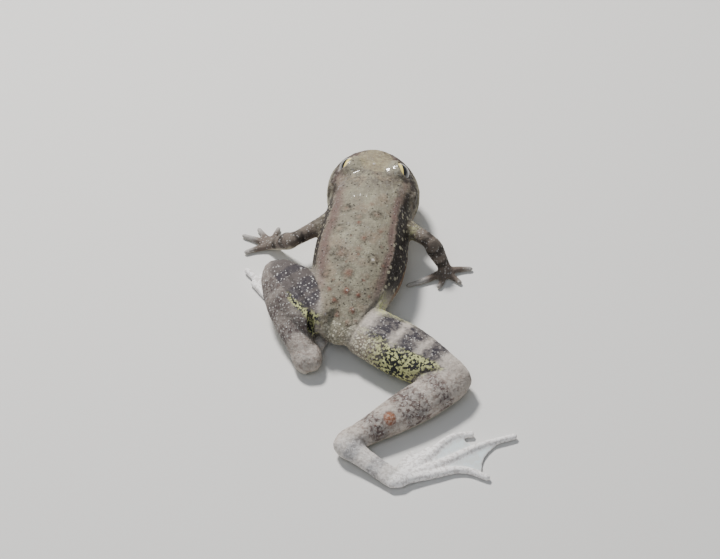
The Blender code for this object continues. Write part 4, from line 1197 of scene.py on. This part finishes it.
class OBJECT_OT_frog_eyes(bpy.types.Operator):
    """Makes the two eyeballs with their dark pupils and gold rims"""

    bl_idname = "object.frog_eyes"
    bl_label = "Frog eyes"

    def execute(self, context):
        sizes = context.scene.frog_sizes
        material = eye_material(context.scene.frog_colours)
        for node, side in EYES.items():
            low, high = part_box(node)
            axis, along, rise = eye_frame(side)
            bpy.ops.object.select_all(action="DESELECT")
            bpy.ops.mesh.primitive_uv_sphere_add(segments=96, ring_count=64, radius=1.0)
            eye = bpy.context.active_object
            eye.name = eye.data.name = "frog_eye_right" if side > 0 else "frog_eye_left"
            places = points_of(eye)
            out = places[:, 2:3] * axis + places[:, 0:1] * along + places[:, 1:2] * rise
            bulge = CORNEA_BULGE * smooth_step(places[:, 2], 0.6, 1.0)
            set_points(eye, np.array((low + high) / 2) + out * (sizes.eye * (1 + bulge))[:, None])
            edit_all(eye, bpy.ops.mesh.normals_make_consistent, inside=False)
            set_values(eye, "eye_along", places[:, 0])
            set_values(eye, "eye_rise", places[:, 1])
            bpy.ops.object.shade_smooth()
            eye.data.materials.append(material)
            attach(eye, "root")
            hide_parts(node)
        return {"FINISHED"}


def add_light(name, power, target):
    direction, distance, size, colour = LIGHTS[name]
    light = bpy.data.lights.new(name, "AREA")
    light.energy, light.color, light.size = power, colour, size
    lamp = bpy.data.objects.new(name, light)
    bpy.context.scene.collection.objects.link(lamp)
    way = Vector(direction).normalized()
    lamp.location = target + way * distance
    lamp.rotation_euler = way.to_track_quat("Z", "Y").to_euler()


def add_camera(settings):
    """The photograph's view, in which the vent lies left of the middle and below it."""
    data = bpy.data.cameras.new("camera")
    camera = bpy.data.objects.new("camera", data)
    bpy.context.scene.collection.objects.link(camera)
    bpy.context.scene.camera = camera
    turn, lift = settings.azimuth, settings.elevation
    back = Vector((math.sin(turn) * math.cos(lift), -math.cos(turn) * math.cos(lift), math.sin(lift)))
    pixel = settings.frame_width / PHOTO_WIDTH
    sideways = Vector((0, 0, 1)).cross(back).normalized()
    target = world(*VENT) + sideways * (VENT_LEFT * pixel) + back.cross(sideways) * (VENT_BELOW * pixel)
    camera.location = target + back * settings.distance
    camera.rotation_euler = back.to_track_quat("Z", "Y").to_euler()
    data.sensor_width = SENSOR_WIDTH
    data.lens = SENSOR_WIDTH * settings.distance / settings.frame_width
    data.clip_start, data.clip_end = 0.01, 20.0


class OBJECT_OT_frog_stage(bpy.types.Operator):
    """Sets the plain floor, the soft light and the camera"""

    bl_idname = "object.frog_stage"
    bl_label = "Frog studio"

    def execute(self, context):
        settings = context.scene.frog_studio
        bpy.ops.object.select_all(action="DESELECT")
        bpy.ops.mesh.primitive_plane_add(size=FLOOR_SIZE, location=(0, 0, CAD_LOW.z))
        floor = bpy.context.active_object
        floor.name = "floor"
        material, _, principled = new_material("Floor")
        principled.inputs["Base Color"].default_value = (*settings.floor, 1.0)
        principled.inputs["Roughness"].default_value = 0.8
        floor.data.materials.append(material)

        studio = bpy.data.worlds.new("Studio")
        studio.use_nodes = True
        sky = studio.node_tree.nodes["Background"]
        sky.inputs["Color"].default_value = (*SKY_COLOUR, 1.0)
        sky.inputs["Strength"].default_value = SKY_STRENGTH
        context.scene.world = studio
        add_light("key", settings.key, world(*LIT_PLACE))
        add_light("fill", settings.fill, world(*LIT_PLACE))
        add_camera(settings)
        return {"FINISHED"}


class VIEW3D_PT_frog(bpy.types.Panel):
    """Lists the frog's pieces"""

    bl_idname = "VIEW3D_PT_frog"
    bl_label = "Foothill yellow-legged frog"
    bl_space_type = "VIEW_3D"
    bl_region_type = "UI"
    bl_category = "Frog"

    def draw(self, context):
        for operator in (OBJECT_OT_frog_skin, OBJECT_OT_frog_eyes, OBJECT_OT_frog_stage):
            self.layout.operator(operator.bl_idname)
        for group in (context.scene.frog_sizes, context.scene.frog_colours, context.scene.frog_studio):
            for key in group.__annotations__:
                self.layout.prop(group, key)


CLASSES = (FrogSizes, FrogColours, StudioSettings, OBJECT_OT_frog_skin, OBJECT_OT_frog_eyes,
           OBJECT_OT_frog_stage, VIEW3D_PT_frog)


def register():
    for item in CLASSES:
        bpy.utils.register_class(item)
    bpy.types.Scene.frog_sizes = bpy.props.PointerProperty(type=FrogSizes)
    bpy.types.Scene.frog_colours = bpy.props.PointerProperty(type=FrogColours)
    bpy.types.Scene.frog_studio = bpy.props.PointerProperty(type=StudioSettings)


def unregister():
    del bpy.types.Scene.frog_studio
    del bpy.types.Scene.frog_colours
    del bpy.types.Scene.frog_sizes
    for item in reversed(CLASSES):
        bpy.utils.unregister_class(item)


def main():
    register()
    bpy.ops.object.frog_skin()
    bpy.ops.object.frog_eyes()
    bpy.ops.object.frog_stage()


if __name__ == "__main__":
    main()
